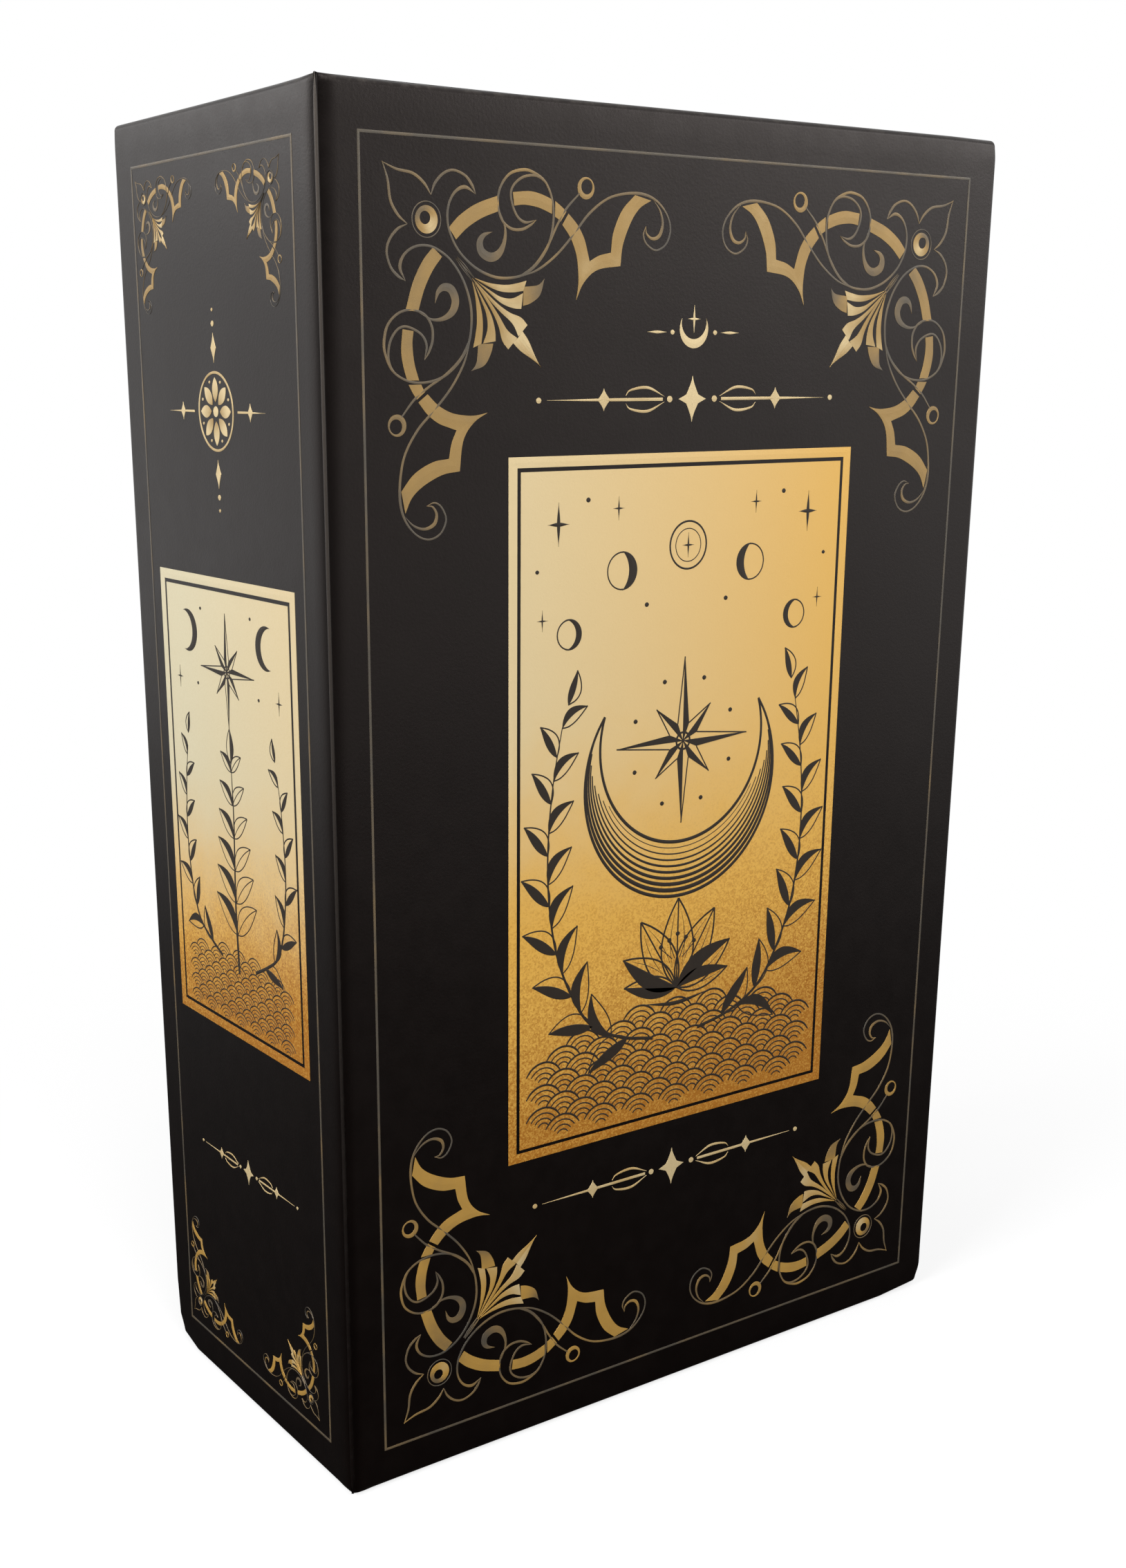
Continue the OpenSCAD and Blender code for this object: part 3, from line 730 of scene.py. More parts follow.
def satin_ribbon():
    """Black satin: fine ribs across the ribbon and long shining floats along it, on its own UV map."""
    nodes = Finish("satin_ribbon")
    uv = nodes.add("UVMap", uv_map="length").outputs[0]
    wave = {"Vector": nodes.stretched(uv, (1.0, 4200.0, 1.0)), "Scale": 1.0, "Distortion": 0.4}
    ribs = nodes.add("TexWave", wave, bands_direction="Y").outputs["Fac"]
    floats_and_sheen = nodes.noise(nodes.stretched(uv, (6000.0, 700.0, 1.0)), 1.0, 2.0)
    height = nodes.maths("ADD", nodes.times(ribs, 0.6), floats_and_sheen)
    return nodes.shade(
        # painted sheen: along the float threads the colour runs from 0.6 to 1.9 times the ribbon's colour
        Base_Color=nodes.mottled(floats_and_sheen, bpy.context.scene.box_contents.ribbon, 0.6, 1.9),
        Roughness=nodes.varied(floats_and_sheen, 0.28, 0.45), Sheen_Weight=0.25, Sheen_Roughness=0.4,
        Normal=nodes.bump(height, 0.02 * MM, 0.6))


# ---- folded paper ----


def fold_rise(distance, dip, reach):
    """How far the paper stands off its face at a distance x from the bead.  It dips by D (1 - x / R) to
    the power 2.8, out to the reach R, and a bell curve lifts it onto the bead."""
    radius = bpy.context.scene.box_paper.bead_radius
    share = np.clip((distance - radius) / (reach - radius), 0, 1)
    bell = np.exp(-((distance / (1.7 * radius)) ** 2))
    return 0.6 * radius * bell - dip * (1 - share) ** 2.8 * (1 - bell)


def straight(start, end, count, support=0.15 * MM):
    """Points along a line, with one close to each end so that the shading stays flat between."""
    start, end = np.asarray(start, float), np.asarray(end, float)
    near = support / np.linalg.norm(end - start)
    share = np.concatenate([[0], np.linspace(near, 1 - near, count - 2), [1]])
    return start + share[:, None] * (end - start)


def bumped(points):
    """Points with the box's bumped corners pushed in.  Each push falls off with the distance d from its
    corner as s^2 (3 - 2 s), where s = 1 - d / reach."""
    push = bpy.context.scene.box_paper.corner_crush
    corners = (
        ((X_SPINE, Y_BACK, Z_FOOT), (0.8, -0.9, 0.9), 4.5 * MM),
        ((X_FORE, Y_BACK, Z_FOOT), (-0.6, -0.3, 0.5), 3.0 * MM),
        ((X_FORE, Y_FRONT, Z_FOOT), (-0.9, 0.25, 0.9), 3.0 * MM),
        ((X_FORE, Y_FRONT, Z_HEAD), (-0.25, 0.1, -0.25), 2.0 * MM),
    )
    for corner, way, reach in corners:
        share = np.clip(1 - np.linalg.norm(points - np.asarray(corner), axis=-1) / reach, 0, 1)
        points = points + (share**2 * (3 - 2 * share))[..., None] * push * np.asarray(way)
    return points


def wrapped_board(name, outer, inner, rise, rounding, material):
    """Boards in their folded paper, as one closed surface.  Its plan is the strip between an outer and
    an inner line with as many points.  Up the box the plan stays the same, and at each end it draws in
    by r (1 - cos a) while the height moves by r (1 - sin a), which rounds the folds, but less so within
    3 mm of the hinge.  The last 2 mm also sag in by the square of the way to the end.  At the head the
    paper rises towards the hinge by an exponential, and a bell curve blunts its point at the foot.
    rise lifts the outer line's points at the bead."""
    plan = np.vstack([outer, inner[::-1]])
    after = np.roll(plan, -1, axis=0)
    edge = after - plan
    edge /= np.maximum(np.linalg.norm(edge, axis=1, keepdims=True), 1e-12)
    along = edge + np.roll(edge, 1, axis=0)
    along /= np.maximum(np.linalg.norm(along, axis=1, keepdims=True), 1e-12)
    inwards = np.stack([-along[:, 1], along[:, 0]], axis=1)
    signed_area = 0.5 * np.sum(plan[:, 0] * after[:, 1] - plan[:, 1] * after[:, 0])
    inwards *= math.copysign(1, signed_area)
    inwards[-1] = inwards[0]
    angle = np.linspace(math.pi / 2, 0, 7)
    end_z, end_in = rounding * (1 - np.sin(angle)), rounding * (1 - np.cos(angle))
    near = rounding + np.linspace(0.1, 2.2, 12) * MM
    body_z = straight((Z_FOOT + near[-1],), (Z_HEAD - near[-1],), 30)[1:-1, 0]
    ends = np.concatenate([end_z, near])
    heights = np.concatenate([Z_FOOT + ends, body_z, Z_HEAD - ends[::-1]])
    end_in = np.concatenate([end_in, 0 * near])
    inset = np.concatenate([end_in, 0 * body_z, end_in[::-1]])
    from_end = np.minimum(heights - Z_FOOT, Z_HEAD - heights) / near[-1]
    paper = bpy.context.scene.box_paper
    inset += paper.end_sag * np.clip(1 - from_end, 0, 1) ** 2
    from_hinge = np.linalg.norm(plan - np.array([X_SPINE, Y_FRONT]), axis=1)
    hinge_zone, head_zone, head_fade, foot_zone, foot_fade = 3 * MM, 8 * MM, 6 * MM, 1.5 * MM, 0.5 * MM
    tight = 0.3 + 0.7 * np.clip(from_hinge / hinge_zone, 0, 1)
    flat = plan[None] + (inset[:, None] * tight[None])[:, :, None] * inwards[None]
    flat[:, :len(rise)] += rise * (1 - 0.5 * inset / rounding)[:, None, None]
    lifted = np.clip(1 - (Z_HEAD - heights) / head_zone, 0, 1)[:, None] ** 2
    level = heights[:, None] + paper.head_lift * lifted * np.exp(-from_hinge / head_fade)
    blunted = np.clip(1 - (heights - Z_FOOT) / foot_zone, 0, 1)[:, None] ** 2
    level += paper.foot_blunt * blunted * np.exp(-((from_hinge / foot_fade) ** 2))
    points = bumped(raised(flat, level)).reshape(-1, 3)
    return solid(name, points, tube_faces(len(heights), len(plan)), material, smooth_faces=True)


def lay_paper(name, outer, inner, rise, y_far, body, *nodes):
    """Boards in printed paper, from the front face back to y_far, shown in place of CAD nodes."""
    black = printed_black(name.replace("paper", "print"), (X_SPINE, Y_FRONT, Z_FOOT), (X_FORE, y_far, Z_HEAD))
    piece = wrapped_board(name, outer, inner, rise, bpy.context.scene.box_paper.fold_round, black)
    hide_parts(*nodes)
    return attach(piece, body)


def front_paper():
    """The lid's printed paper: the front with the fold beside the hinge, the fore edge and the inside."""
    paper = bpy.context.scene.box_paper
    r, reach, lip = paper.fold_round, paper.front_reach, 0.5 * paper.bead_radius
    fold = np.linspace(lip, reach, 22)
    outer = np.vstack([
        np.stack([X_SPINE + fold, Y_FRONT + 0 * fold], axis=1),
        straight((X_SPINE + reach + 0.1 * MM, Y_FRONT), (X_FORE - r, Y_FRONT), 16)[:-1],
        arc((X_FORE - r, Y_FRONT + r), r, -90, 0, 7),
    ])
    x_mitre = X_SPINE + FOLD_GAP + Y_TURN_IN - Y_FRONT
    inner = np.vstack([
        (X_SPINE + lip + FOLD_GAP, Y_FRONT + lip),
        straight((x_mitre, Y_TURN_IN), (X_FORE - r, Y_TURN_IN), len(outer) - 7)[:-1],
        arc((X_FORE - r, Y_TURN_IN - r), r, 90, 0, 7),
    ])
    rise = np.outer(fold_rise(fold, paper.front_dip, reach), (0, -1))
    return lay_paper("front_paper", outer, inner, rise, Y_TURN_IN, "lid", "front_wrap")


def case_paper():
    """The printed paper on the spine and the back, round their shared edge, as one folded piece."""
    paper = bpy.context.scene.box_paper
    r, wide, reach, lip = paper.fold_round, paper.back_round, paper.spine_reach, 0.5 * paper.bead_radius
    small = 0.1 * MM
    fold = np.linspace(lip, reach, 20)
    outer = np.vstack([
        np.stack([X_SPINE + 0 * fold, Y_FRONT + fold], axis=1),
        straight((X_SPINE, Y_FRONT + reach + 0.1 * MM), (X_SPINE, Y_BACK - wide), 12)[:-1],
        arc((X_SPINE + wide, Y_BACK - wide), wide, 180, 90, 10),
        straight((X_SPINE + wide, Y_BACK), (X_FORE - r, Y_BACK), 16)[1:-1],
        arc((X_FORE - r, Y_BACK - r), r, 90, 0, 7),
    ])
    y_mitre = Y_FRONT + FOLD_GAP + X_TRAY - X_SPINE
    inner = np.vstack([
        (X_SPINE + lip, Y_FRONT + lip + FOLD_GAP),
        straight((X_TRAY, y_mitre), (X_TRAY, Y_BACK_INNER - small), 31)[:-1],
        arc((X_TRAY + small, Y_BACK_INNER - small), small, 180, 90, 10),
        straight((X_TRAY + small, Y_BACK_INNER), (X_FORE - r, Y_BACK_INNER), 16)[1:-1],
        arc((X_FORE - r, Y_BACK_INNER + r), r, -90, 0, 7),
    ])
    rise = np.outer(fold_rise(fold, paper.spine_dip, reach), (-1, 0))
    return lay_paper("case_paper", outer, inner, rise, Y_BACK, "box", "spine_wrap", "back_wrap")


def hinge_bead():
    """The bead of folded paper that the lid turns on: a circle carried up the hinge, 0.2 mm proud of the
    front, its radius varied by a slow wave and drawn in at both ends by a square root."""
    paper = bpy.context.scene.box_paper
    radius, rows, sides = paper.bead_radius, 120, 16
    rise = np.linspace(0, 1, rows)
    z_low = Z_FOOT + 0.4 * MM
    heights = z_low + rise * (Z_HEAD + paper.head_lift - z_low)
    ends = np.clip(np.minimum(rise, 1 - rise) * rows / 2.5, 0.02, 1) ** 0.5
    wave = 1 - 0.05 * (1 + np.sin(47 * rise) * np.cos(23 * rise)) / 2
    centre = np.array([X_SPINE + 0.02 * MM, Y_FRONT + radius - 0.2 * MM])
    around = arc((0, 0), 1, 0, 360, sides + 1)[:-1]
    flat = around[None] * (radius * wave * ends)[:, None, None] + centre
    points = raised(flat, heights[:, None]).reshape(-1, 3)
    faces = strip_faces(rows, sides).tolist()
    faces += [list(range(sides - 1, -1, -1)), list(range(len(points) - sides, len(points)))]
    # the last argument is the share of painted highlight at the head of the bead
    black = printed_black("bead_print", (X_SPINE, Y_FRONT, Z_FOOT), (X_FORE, Y_BACK, Z_HEAD), 0.8)
    piece = solid("hinge_bead", points, faces, black, smooth_faces=True)
    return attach(piece, "box")


# ---- gold drawings ----


def corner_ornament():
    """The corner scrollwork, from the face's corner: across and away from the corner, in millimetres.
    Each shape is also laid down mirrored about the diagonal."""
    half = Relief(weight=0.86, shine=0.5)
    hair = 0.3
    # three-petalled outline round the bead, from the tip at the corner
    half.stroke([(6.1, 6.15), (7.5, 6.65), (9.1, 6.9), (10.2, 7.6), (10.88, 8.5)],
                [0.12, hair, 0.34, 0.34, 0.14], [0.5, 0.35, 0.4, 0.5, 0.45])
    half.stroke([(10.88, 8.5), (11.3, 7.55), (12.15, 6.75), (13.15, 6.45), (14.3, 6.8), (15.0, 7.5),
                 (15.4, 8.25)],
                [0.12, 0.32, 0.32, hair, 0.32, 0.36, 0.1])
    # the long loop from the petal's hook, round the strap and into the moon's tail
    half.stroke([(15.4, 8.25), (14.35, 7.72), (13.38, 8.08), (12.72, 9.0), (12.5, 10.15), (12.75, 11.4),
                 (13.65, 12.85), (15.25, 14.1), (17.2, 14.82), (19.0, 14.88), (20.6, 14.5), (22.0, 13.5),
                 (23.15, 11.9), (23.6, 10.05), (23.45, 8.3), (22.65, 6.85), (21.3, 6.15), (20.2, 6.05),
                 (18.9, 6.45), (17.98, 7.5), (17.68, 8.8), (18.05, 10.1), (19.0, 10.82), (20.15, 10.88),
                 (21.1, 10.5), (21.75, 10.05)],
                [0.1, 0.4, 0.34, hair, hair, hair, hair, 0.32, 0.34, 0.32, hair, hair, 0.32, hair, hair, hair,
                 0.34, 0.36, 0.32, hair, hair, 0.32, 0.34, 0.34, hair, 0.08],
                [0.4, 0.5, 0.45, 0.3, 0.2, 0.15, 0.15, 0.2, 0.3, 0.35, 0.3, 0.3, 0.3, 0.25, 0.3, 0.4, 0.5,
                 0.6, 0.5, 0.3, 0.2, 0.3, 0.35, 0.4, 0.4, 0.5], steps=7)
    half.stroke([(21.75, 10.05), (20.6, 10.28), (19.75, 9.85), (19.2, 8.88), (19.05, 7.95), (19.45, 7.2),
                 (20.4, 6.6), (21.65, 6.45), (22.65, 6.9), (23.3, 7.9)],
                [0.08, 0.32, 0.32, hair, hair, hair, 0.32, hair, 0.26, 0.1], 0.35)
    # the scroll inside the loop
    half.stroke([(17.95, 9.6), (18.45, 10.9), (18.33, 12.05), (17.75, 12.95), (16.88, 13.25), (16.0, 12.85),
                 (15.8, 12.1), (16.2, 11.5), (17.1, 11.18)],
                [0.1, hair, 0.5, 0.82, 0.95, 0.95, 0.78, 0.5, 0.06],
                [0.3, 0.3, 0.35, 0.4, 0.35, 0.3, 0.25, 0.35, 0.5])
    # the stem and its ring, and the long hairline with its curled end
    half.stroke([(20.0, 14.7), (21.6, 13.75), (22.95, 12.2), (24.0, 10.4), (25.0, 8.98), (26.45, 7.65)],
                [0.12, 0.26, hair, hair, hair, 0.22], [0.3, 0.3, 0.4, 0.45, 0.3, 0.3])
    half.ring((27.13, 7.2), 0.95, 0.6, (0.1, -0.12), 0.4, 28)
    half.stroke([(20.0, 14.8), (22.0, 14.1), (24.0, 12.8), (25.8, 11.1), (27.5, 9.3), (29.5, 7.98),
                 (31.5, 7.45), (33.5, 7.38), (35.15, 7.88), (36.4, 9.0), (36.85, 10.3), (36.4, 11.5),
                 (35.25, 12.1), (34.15, 11.65), (33.72, 10.9), (33.98, 10.1)],
                [0.12, 0.28, hair, hair, 0.32, hair, 0.32, 0.36, hair, *[0.26] * 5, 0.22, 0.08],
                [0.3, 0.3, 0.35, 0.3, 0.4, 0.45, 0.4, 0.35, 0.3, 0.2, 0.15, 0.1, 0.1, 0.15, 0.3, 0.5],
                steps=8)
    half.stroke([(34.7, 7.75), (35.6, 8.72), (35.93, 9.85), (35.55, 10.85), (34.75, 11.12), (34.08, 10.72),
                 (33.98, 10.1)],
                [0.08, 0.26, 0.34, 0.44, 0.36, 0.26, 0.08], [0.2, 0.3, 0.4, 0.6, 0.5, 0.4, 0.4])
    # the strap: three pieces that pass under the hairlines
    half.band([(12.62, 11.0), (13.75, 9.95), (15.5, 8.95), (17.75, 8.2)],
              [(13.38, 11.95), (14.5, 11.0), (16.0, 10.15), (17.8, 9.5)], 24, 0.42, 0.52)
    half.band([(19.25, 7.86), (21.0, 7.7), (22.25, 7.88), (23.42, 8.25)],
              [(19.4, 9.0), (20.5, 8.88), (22.0, 9.05), (23.42, 9.5)], 20, 0.5, 0.5)
    half.band([(23.78, 8.38), (24.4, 8.75), (25.02, 9.2)],
              [(23.76, 9.72), (24.1, 9.9), (24.35, 10.1)], 8, 0.5, 0.5)
    half.band([(25.25, 9.35), (26.25, 10.25), (27.0, 11.35), (27.4, 12.5), (27.63, 13.25)],
              [(24.55, 10.35), (25.5, 11.45), (26.15, 12.85), (26.38, 14.4), (26.36, 15.5), (26.15, 16.6)],
              30, 0.48, 0.58)
    half.band([(27.63, 13.25), (28.75, 12.72), (30.0, 12.45)],
              [(26.15, 16.6), (27.0, 15.1), (28.5, 14.0), (31.13, 13.6)], 16, 0.58, 0.58)
    half.band([(30.0, 12.45), (30.25, 10.75), (31.2, 8.85), (32.65, 7.5)],
              [(31.13, 13.6), (31.38, 11.8), (32.25, 9.85), (33.25, 8.6), (34.55, 7.9)], 26, 0.58, 0.48)
    # the leaf: an outer lobe with a slit, its tip, and half of the middle lobe
    half.band([(15.2, 14.95), (16.75, 15.32), (18.5, 15.45), (19.75, 15.28), (20.72, 15.05)],
              [(15.4, 15.12), (16.9, 15.75), (18.0, 16.05), (19.2, 16.1), (20.35, 15.95)], 20, 0.45, 0.82)
    half.band([(15.45, 15.2), (16.9, 15.95), (18.0, 16.45), (19.2, 16.55), (20.35, 16.1)],
              [(15.4, 15.25), (16.7, 16.15), (18.0, 17.0), (19.25, 17.4), (20.15, 17.45)], 20, 0.45, 0.82)
    half.band([(20.4, 15.55), (21.2, 15.5), (22.05, 15.35), (22.65, 14.85)],
              [(20.35, 17.2), (21.2, 16.95), (22.2, 16.25), (22.67, 14.87)], 14, 0.5, 0.15)
    half.band([(15.0, 14.95), (16.5, 16.15), (17.8, 17.1), (19.0, 17.75), (20.15, 18.12), (20.85, 18.75)],
              [(15.02, 15.05), (16.6, 16.62), (17.9, 17.72), (19.2, 18.7), (19.85, 19.75)], 24, 0.4, 0.8)
    half.band([(20.3, 19.25), (21.0, 20.1), (21.6, 21.2), (22.3, 22.35)],
              [(19.8, 19.9), (20.4, 20.5), (21.3, 21.35), (22.32, 22.37)], 14, 0.85, 0.6)
    for bend in (0.0, 0.45):
        half.stroke([(13.45, 13.45 - 0.3 * bend), (14.2, 14.15 - bend * 0.5), (15.2, 15.0 - bend * 0.1)],
                    [0.08, 0.16, 0.1], 0.3)
    whole = Relief().add(half).add(half, swap=True, shine=0.86)
    # painted highlight and shade: the bead ring's gleam rises and falls around it, as on a lit ball
    around = np.radians(np.linspace(0, 360, 41)[:-1])
    whole.ring((10.4, 10.45), 1.15, 0.5, (-0.14, -0.14), 0.46 + 0.3 * np.cos(around - math.pi / 4), 40)
    return whole.ring((10.4, 10.45), 1.5, 1.36, gleam=0.1, count=40)


def divider(length):
    """A plain ornament: a star between two tapering lines with lozenges and dots."""
    drawing, reach = Relief(), length / 2
    for side in (-1, 1):
        bead = side * reach * 0.62
        drawing.stroke([(side * 3.6, 0), (bead, 0), (side * reach, 0)], [0.34, 0.3, 0.05], 0.85, 5)
        drawing.lozenge((bead, 0), 0.75, 1.0, 0.9)
        drawing.disc((side * (reach + 0.9), 0), 0.28, 0.85)
        drawing.disc((side * 2.75, 0), 0.32, 0.85)
        for up in (-1, 1):
            drawing.stroke([(side * 3.4, up * 0.25), (side * 5.4, up * 1.05), (side * 7.4, up * 0.85),
                            (side * 8.0, up * 0.35)], [0.08, 0.3, 0.22, 0.06], 0.8, 8)
    drawing.lozenge((0, 0), 1.0, 2.1, 1.0)
    drawing.lozenge((0, 0), 1.7, 0.9, 1.0)
    return drawing


def moonrise():
    """A small moon lying on its back under a sparkle."""
    drawing = Relief()
    drawing.crescent((0, 0), 1.75, 1.5, 0.62, 90, 0.9)
    drawing.sparkle((0, 0.9), 1.25, 0.95)
    for side in (-1, 1):
        drawing.disc((side * 2.6, -0.3), 0.24, 0.85, 8)
        drawing.stroke([(side * across, -0.3) for across in (3.3, 4.4, 5.6)], [0.04, 0.3, 0.04], 0.85, 4)
    return drawing


def rosette(radius):
    """A round flower of eight petals in a thin ring."""
    drawing = Relief()
    drawing.ring((0, 0), radius, radius - 0.28, gleam=0.75, count=60)
    for petal in range(8):
        angle = 45 * petal
        t = np.linspace(0, 1, 13)
        half = 0.16 * radius * np.sin(math.pi * t) ** 0.75 + 0.01
        middle = np.stack([radius * (0.24 + 0.6 * t), 0 * t], axis=1)
        drawing.strip(turned(middle + np.outer(half, (0, 1)), angle),
                      turned(middle - np.outer(half, (0, 1)), angle), np.linspace(0.6, 1.0, 13))
        drawing.disc(turned([(radius * 0.78, 0)], angle + 22.5)[0], 0.16, 0.8, 8)
    drawing.disc((0, 0), radius * 0.14, 1.0)
    for side in (-1, 1):
        drawing.lozenge((0, side * (radius + 2.0)), 0.55, 1.3, 0.9)
        drawing.disc((0, side * (radius + 4.1)), 0.28, 0.85, 8)
        drawing.disc((0, side * (radius + 5.3)), 0.18, 0.8, 8)
        drawing.stroke([(side * (radius + 0.8), 0), (side * radius * 1.9, 0), (side * radius * 2.7, 0)],
                       [0.26, 0.22, 0.04], 0.8, 5)
        drawing.lozenge((side * radius * 1.9, 0), 0.5, 0.8, 0.9)
    return drawing


def frame_line(width, height, line, gleam):
    """A rectangular ring, centred."""
    corners = np.array([(-1, -1), (1, -1), (1, 1), (-1, 1)], float) / 2
    outer = np.concatenate([straight(corners[k], corners[(k + 1) % 4], 5, 0.01)[:-1] for k in range(4)])
    inner = outer * (width - 2 * line, height - 2 * line)
    return Relief().strip(outer * (width, height), inner, gleam, ring=True)


def gold_panel(width, height, rim, gap):
    """A panel's rim, and its field inside a dark line."""
    drawing = frame_line(width, height, rim, 0.85)
    half_w, half_h = width / 2 - rim - gap, height / 2 - rim - gap
    up = np.linspace(-half_h, half_h, 9)
    sides = (np.stack([np.full(9, across), up], axis=1) for across in (-half_w, half_w))
    return drawing.strip(*sides, 0.6, dome=0.0)


def scales(drawing, top, bottom, half_w, radius, line):
    """Waves as overlapping round scales: four arcs about each centre, rows shifted by the radius R and
    R / 2 lower.  An arc of radius r R shows above its neighbours from acos((r^2 + 0.25) / (r sqrt 5))
    minus 26.565 degrees to as much short of the other side."""
    rows = int((top - bottom) / (radius / 2))
    for row in range(rows):
        up = top - radius - row * radius / 2
        shift = radius if row % 2 else 0
        for step in range(-int(half_w / radius) // 2 - 1, int(half_w / radius) // 2 + 2):
            middle = 2 * radius * step + shift
            if abs(middle) > half_w - radius * 0.86 or row < abs(middle) / half_w * 2.5 - 1:
                continue
            for share in (1.0, 0.76, 0.53, 0.32):
                hidden = math.degrees(math.acos((share**2 + 0.25) / (share * math.sqrt(5)))) - 26.565
                inner = line * (1.15 if share == 1 else 0.85)
                drawing.stroke(arc((middle, up), radius * share, hidden, 180 - hidden, 7),
                               [line * 0.8, *[inner] * 5, line * 0.8], steps=3)


def spray(drawing, path, leaves, length, width, first=0.12):
    """A leafy stem along a path: leaves stand off it on both sides by turns and shrink to its end."""
    line = evenly(smooth(path, 12), 80)
    drawing.stroke(line[::8], np.linspace(0.42, 0.16, len(line[::8])), steps=5)
    along = np.gradient(line, axis=0)
    for leaf in range(leaves):
        share = first + (0.97 - first) * leaf / (leaves - 1)
        spot = int(share * 79)
        heading = math.degrees(math.atan2(along[spot, 1], along[spot, 0]))
        side = 1 if leaf % 2 == 0 else -1
        size = 1 - 0.45 * share
        lean = 42 if leaf < leaves - 1 else 0
        drawing.leaf(line[spot], heading + side * lean, length * size, width * size,
                     bend=-0.10 * side, line=0.2)


def front_drawing():
    """The front panel's drawing: a compass star held by a crescent, moons in an arch above, a water
    lily on rippled water below, and a leafy spray up each side."""
    drawing = Relief()
    engraved_moon(drawing, (0, 2.6), 12.2, 10.4, 3.9)
    drawing.star((0, 6.4), 8.4, 4.9, 1.9, 0.2)
    drawing.ring((0, 6.4), 1.0, 0.72, count=24)
    for angle in np.arange(22.5, 360, 45):
        drawing.disc(arc((0, 6.4), 6.6, angle, angle, 1)[0], 0.26, count=8)
    for angle, radius in ((146, 1.5), (118, 1.85), (62, 1.85), (34, 1.5)):
        spot = arc((0, 8.4), 17.2, angle, angle, 1)[0]
        drawing.ring(spot, radius, radius - 0.2, count=30)
        facing = 180 if angle > 90 else 0
        bite = 0.96 if radius < 1.7 else 1.35
        drawing.crescent(spot, radius, radius * bite, radius * (0.45 if radius < 1.7 else 0.92), facing)
    drawing.ring((0, 25.6), 2.4, 2.15, count=40)
    drawing.ring((0, 25.6), 1.65, 1.5, count=34)
    drawing.sparkle((0, 25.6), 1.2)
    for side in (-1, 1):
        drawing.sparkle((side * 15.6, 28.2), 2.0)
        drawing.sparkle((side * 8.6, 29.4), 1.1)
        drawing.sparkle((side * 17.4, 19.5), 1.0)
        drawing.disc((side * 12.2, 30.3), 0.26, count=8)
        drawing.disc((side * 18.0, 24.0), 0.22, count=8)
        drawing.disc((side * 5.0, 20.2), 0.26, count=8)
        spray(drawing, [(side * 3.0, -24.5), (side * 10.5, -22.0), (side * 15.2, -14.0), (side * 16.6, -4.0),
                        (side * 15.6, 6.5), (side * 13.8, 13.0)], 17, 6.0, 2.5, 0.08)
    lily(drawing, (0, -19.5))
    scales(drawing, -20.6, -32.6, 19.4, 2.42, 0.24)
    return drawing


def engraved_moon(drawing, centre, radius, bite, shift):
    """A moon lying on its back, drawn as an engraver would: its outline and lines that part towards its
    middle.  Line k keeps the same share of the way from the inner to the outer arc."""
    outside, inside = moon_arcs(centre, radius, bite, shift, 90, 41)
    swell = np.sin(np.linspace(0, math.pi, 41))
    for share in np.linspace(0, 1, 10):
        edge = share in (0, 1)
        width = (0.32 if edge else 0.1) + (0.1 if edge else 0.46 * share) * swell
        first = 0 if edge else 2 + int(8 * (1 - share))
        line = (1 - share) * inside + share * outside
        drawing.stroke(line[first:41 - first], width[first:41 - first], steps=2)


def lily(drawing, base):
    """An open water lily: outlined petals fanned out from its base, the nearest in the middle."""
    for angle, length, width in ((90, 9.6, 4.2), (58, 9.2, 3.8), (122, 9.2, 3.8), (30, 8.2, 3.2),
                                 (150, 8.2, 3.2), (9, 7.0, 2.4), (171, 7.0, 2.4)):
        drawing.leaf(base, angle, length, width, 0.0, 0.26, fill=angle in (30, 150, 9, 171))
        t = np.linspace(0.25, 0.85, 5)
        for off in (-0.22, 0.22):
            vein = np.stack([length * t, width * off * np.sin(math.pi * t)], axis=1)
            drawing.stroke(turned(vein, angle, base), [0.05, 0.12, 0.14, 0.12, 0.05], steps=4)
    drawing.stroke([(base[0] - 4.5, base[1] - 1.1), (base[0], base[1] - 1.7), (base[0] + 4.5, base[1] - 1.1)],
                   [0.08, 0.5, 0.08], steps=8)
    for off in (-2.2, -1.1, 0, 1.1, 2.2):
        tip = base[0] + off, base[1] + 5.6 - abs(off) * 0.5
        drawing.line((base[0] + off * 0.3, base[1] + 3.2), tip, 0.16)
        drawing.disc((tip[0], tip[1] + 0.2), 0.28, count=8)


def spine_drawing():
    """The spine panel's drawing: a tall leafy stem under a compass star, with a moon at each side."""
    drawing = Relief()
    drawing.star((0, 14.2), 5.6, 3.3, 1.25, 0.17)
    drawing.ring((0, 14.2), 0.7, 0.48, count=20)
    for side in (-1, 1):
        drawing.crescent((side * 8.2, 17.4), 2.1, 1.9, 0.9, 90 - side * 90)
        drawing.sparkle((side * 10.4, 12.6), 1.1)
        drawing.disc((side * 5.2, 19.8), 0.2, count=8)
        drawing.disc((side * 6.4, 12.4), 0.2, count=8)
        spray(drawing, [(side * 3.6, -15.0), (side * 8.6, -12.0), (side * 10.4, -5.5), (side * 10.2, 1.5),
                        (side * 9.0, 8.0)], 11, 3.9, 1.7, 0.1)
        for step in range(6):
            size = 1 - 0.1 * step
            drawing.leaf((0, 3.3 * step - 12.0), 90 - side * 50, 5.6 * size, 2.3 * size, 0.08 * side, 0.18,
                         fill=side > 0)
    drawing.stroke([(0, -16.0), (0.2, -9), (-0.15, 0), (0, 6.0)], [0.5, 0.4, 0.3, 0.16], steps=12)
    drawing.leaf((0, 5.4), 90, 3.4, 1.5, 0.0, 0.18)
    scales(drawing, -13.6, -21.4, 12.4, 1.65, 0.17)
    return drawing


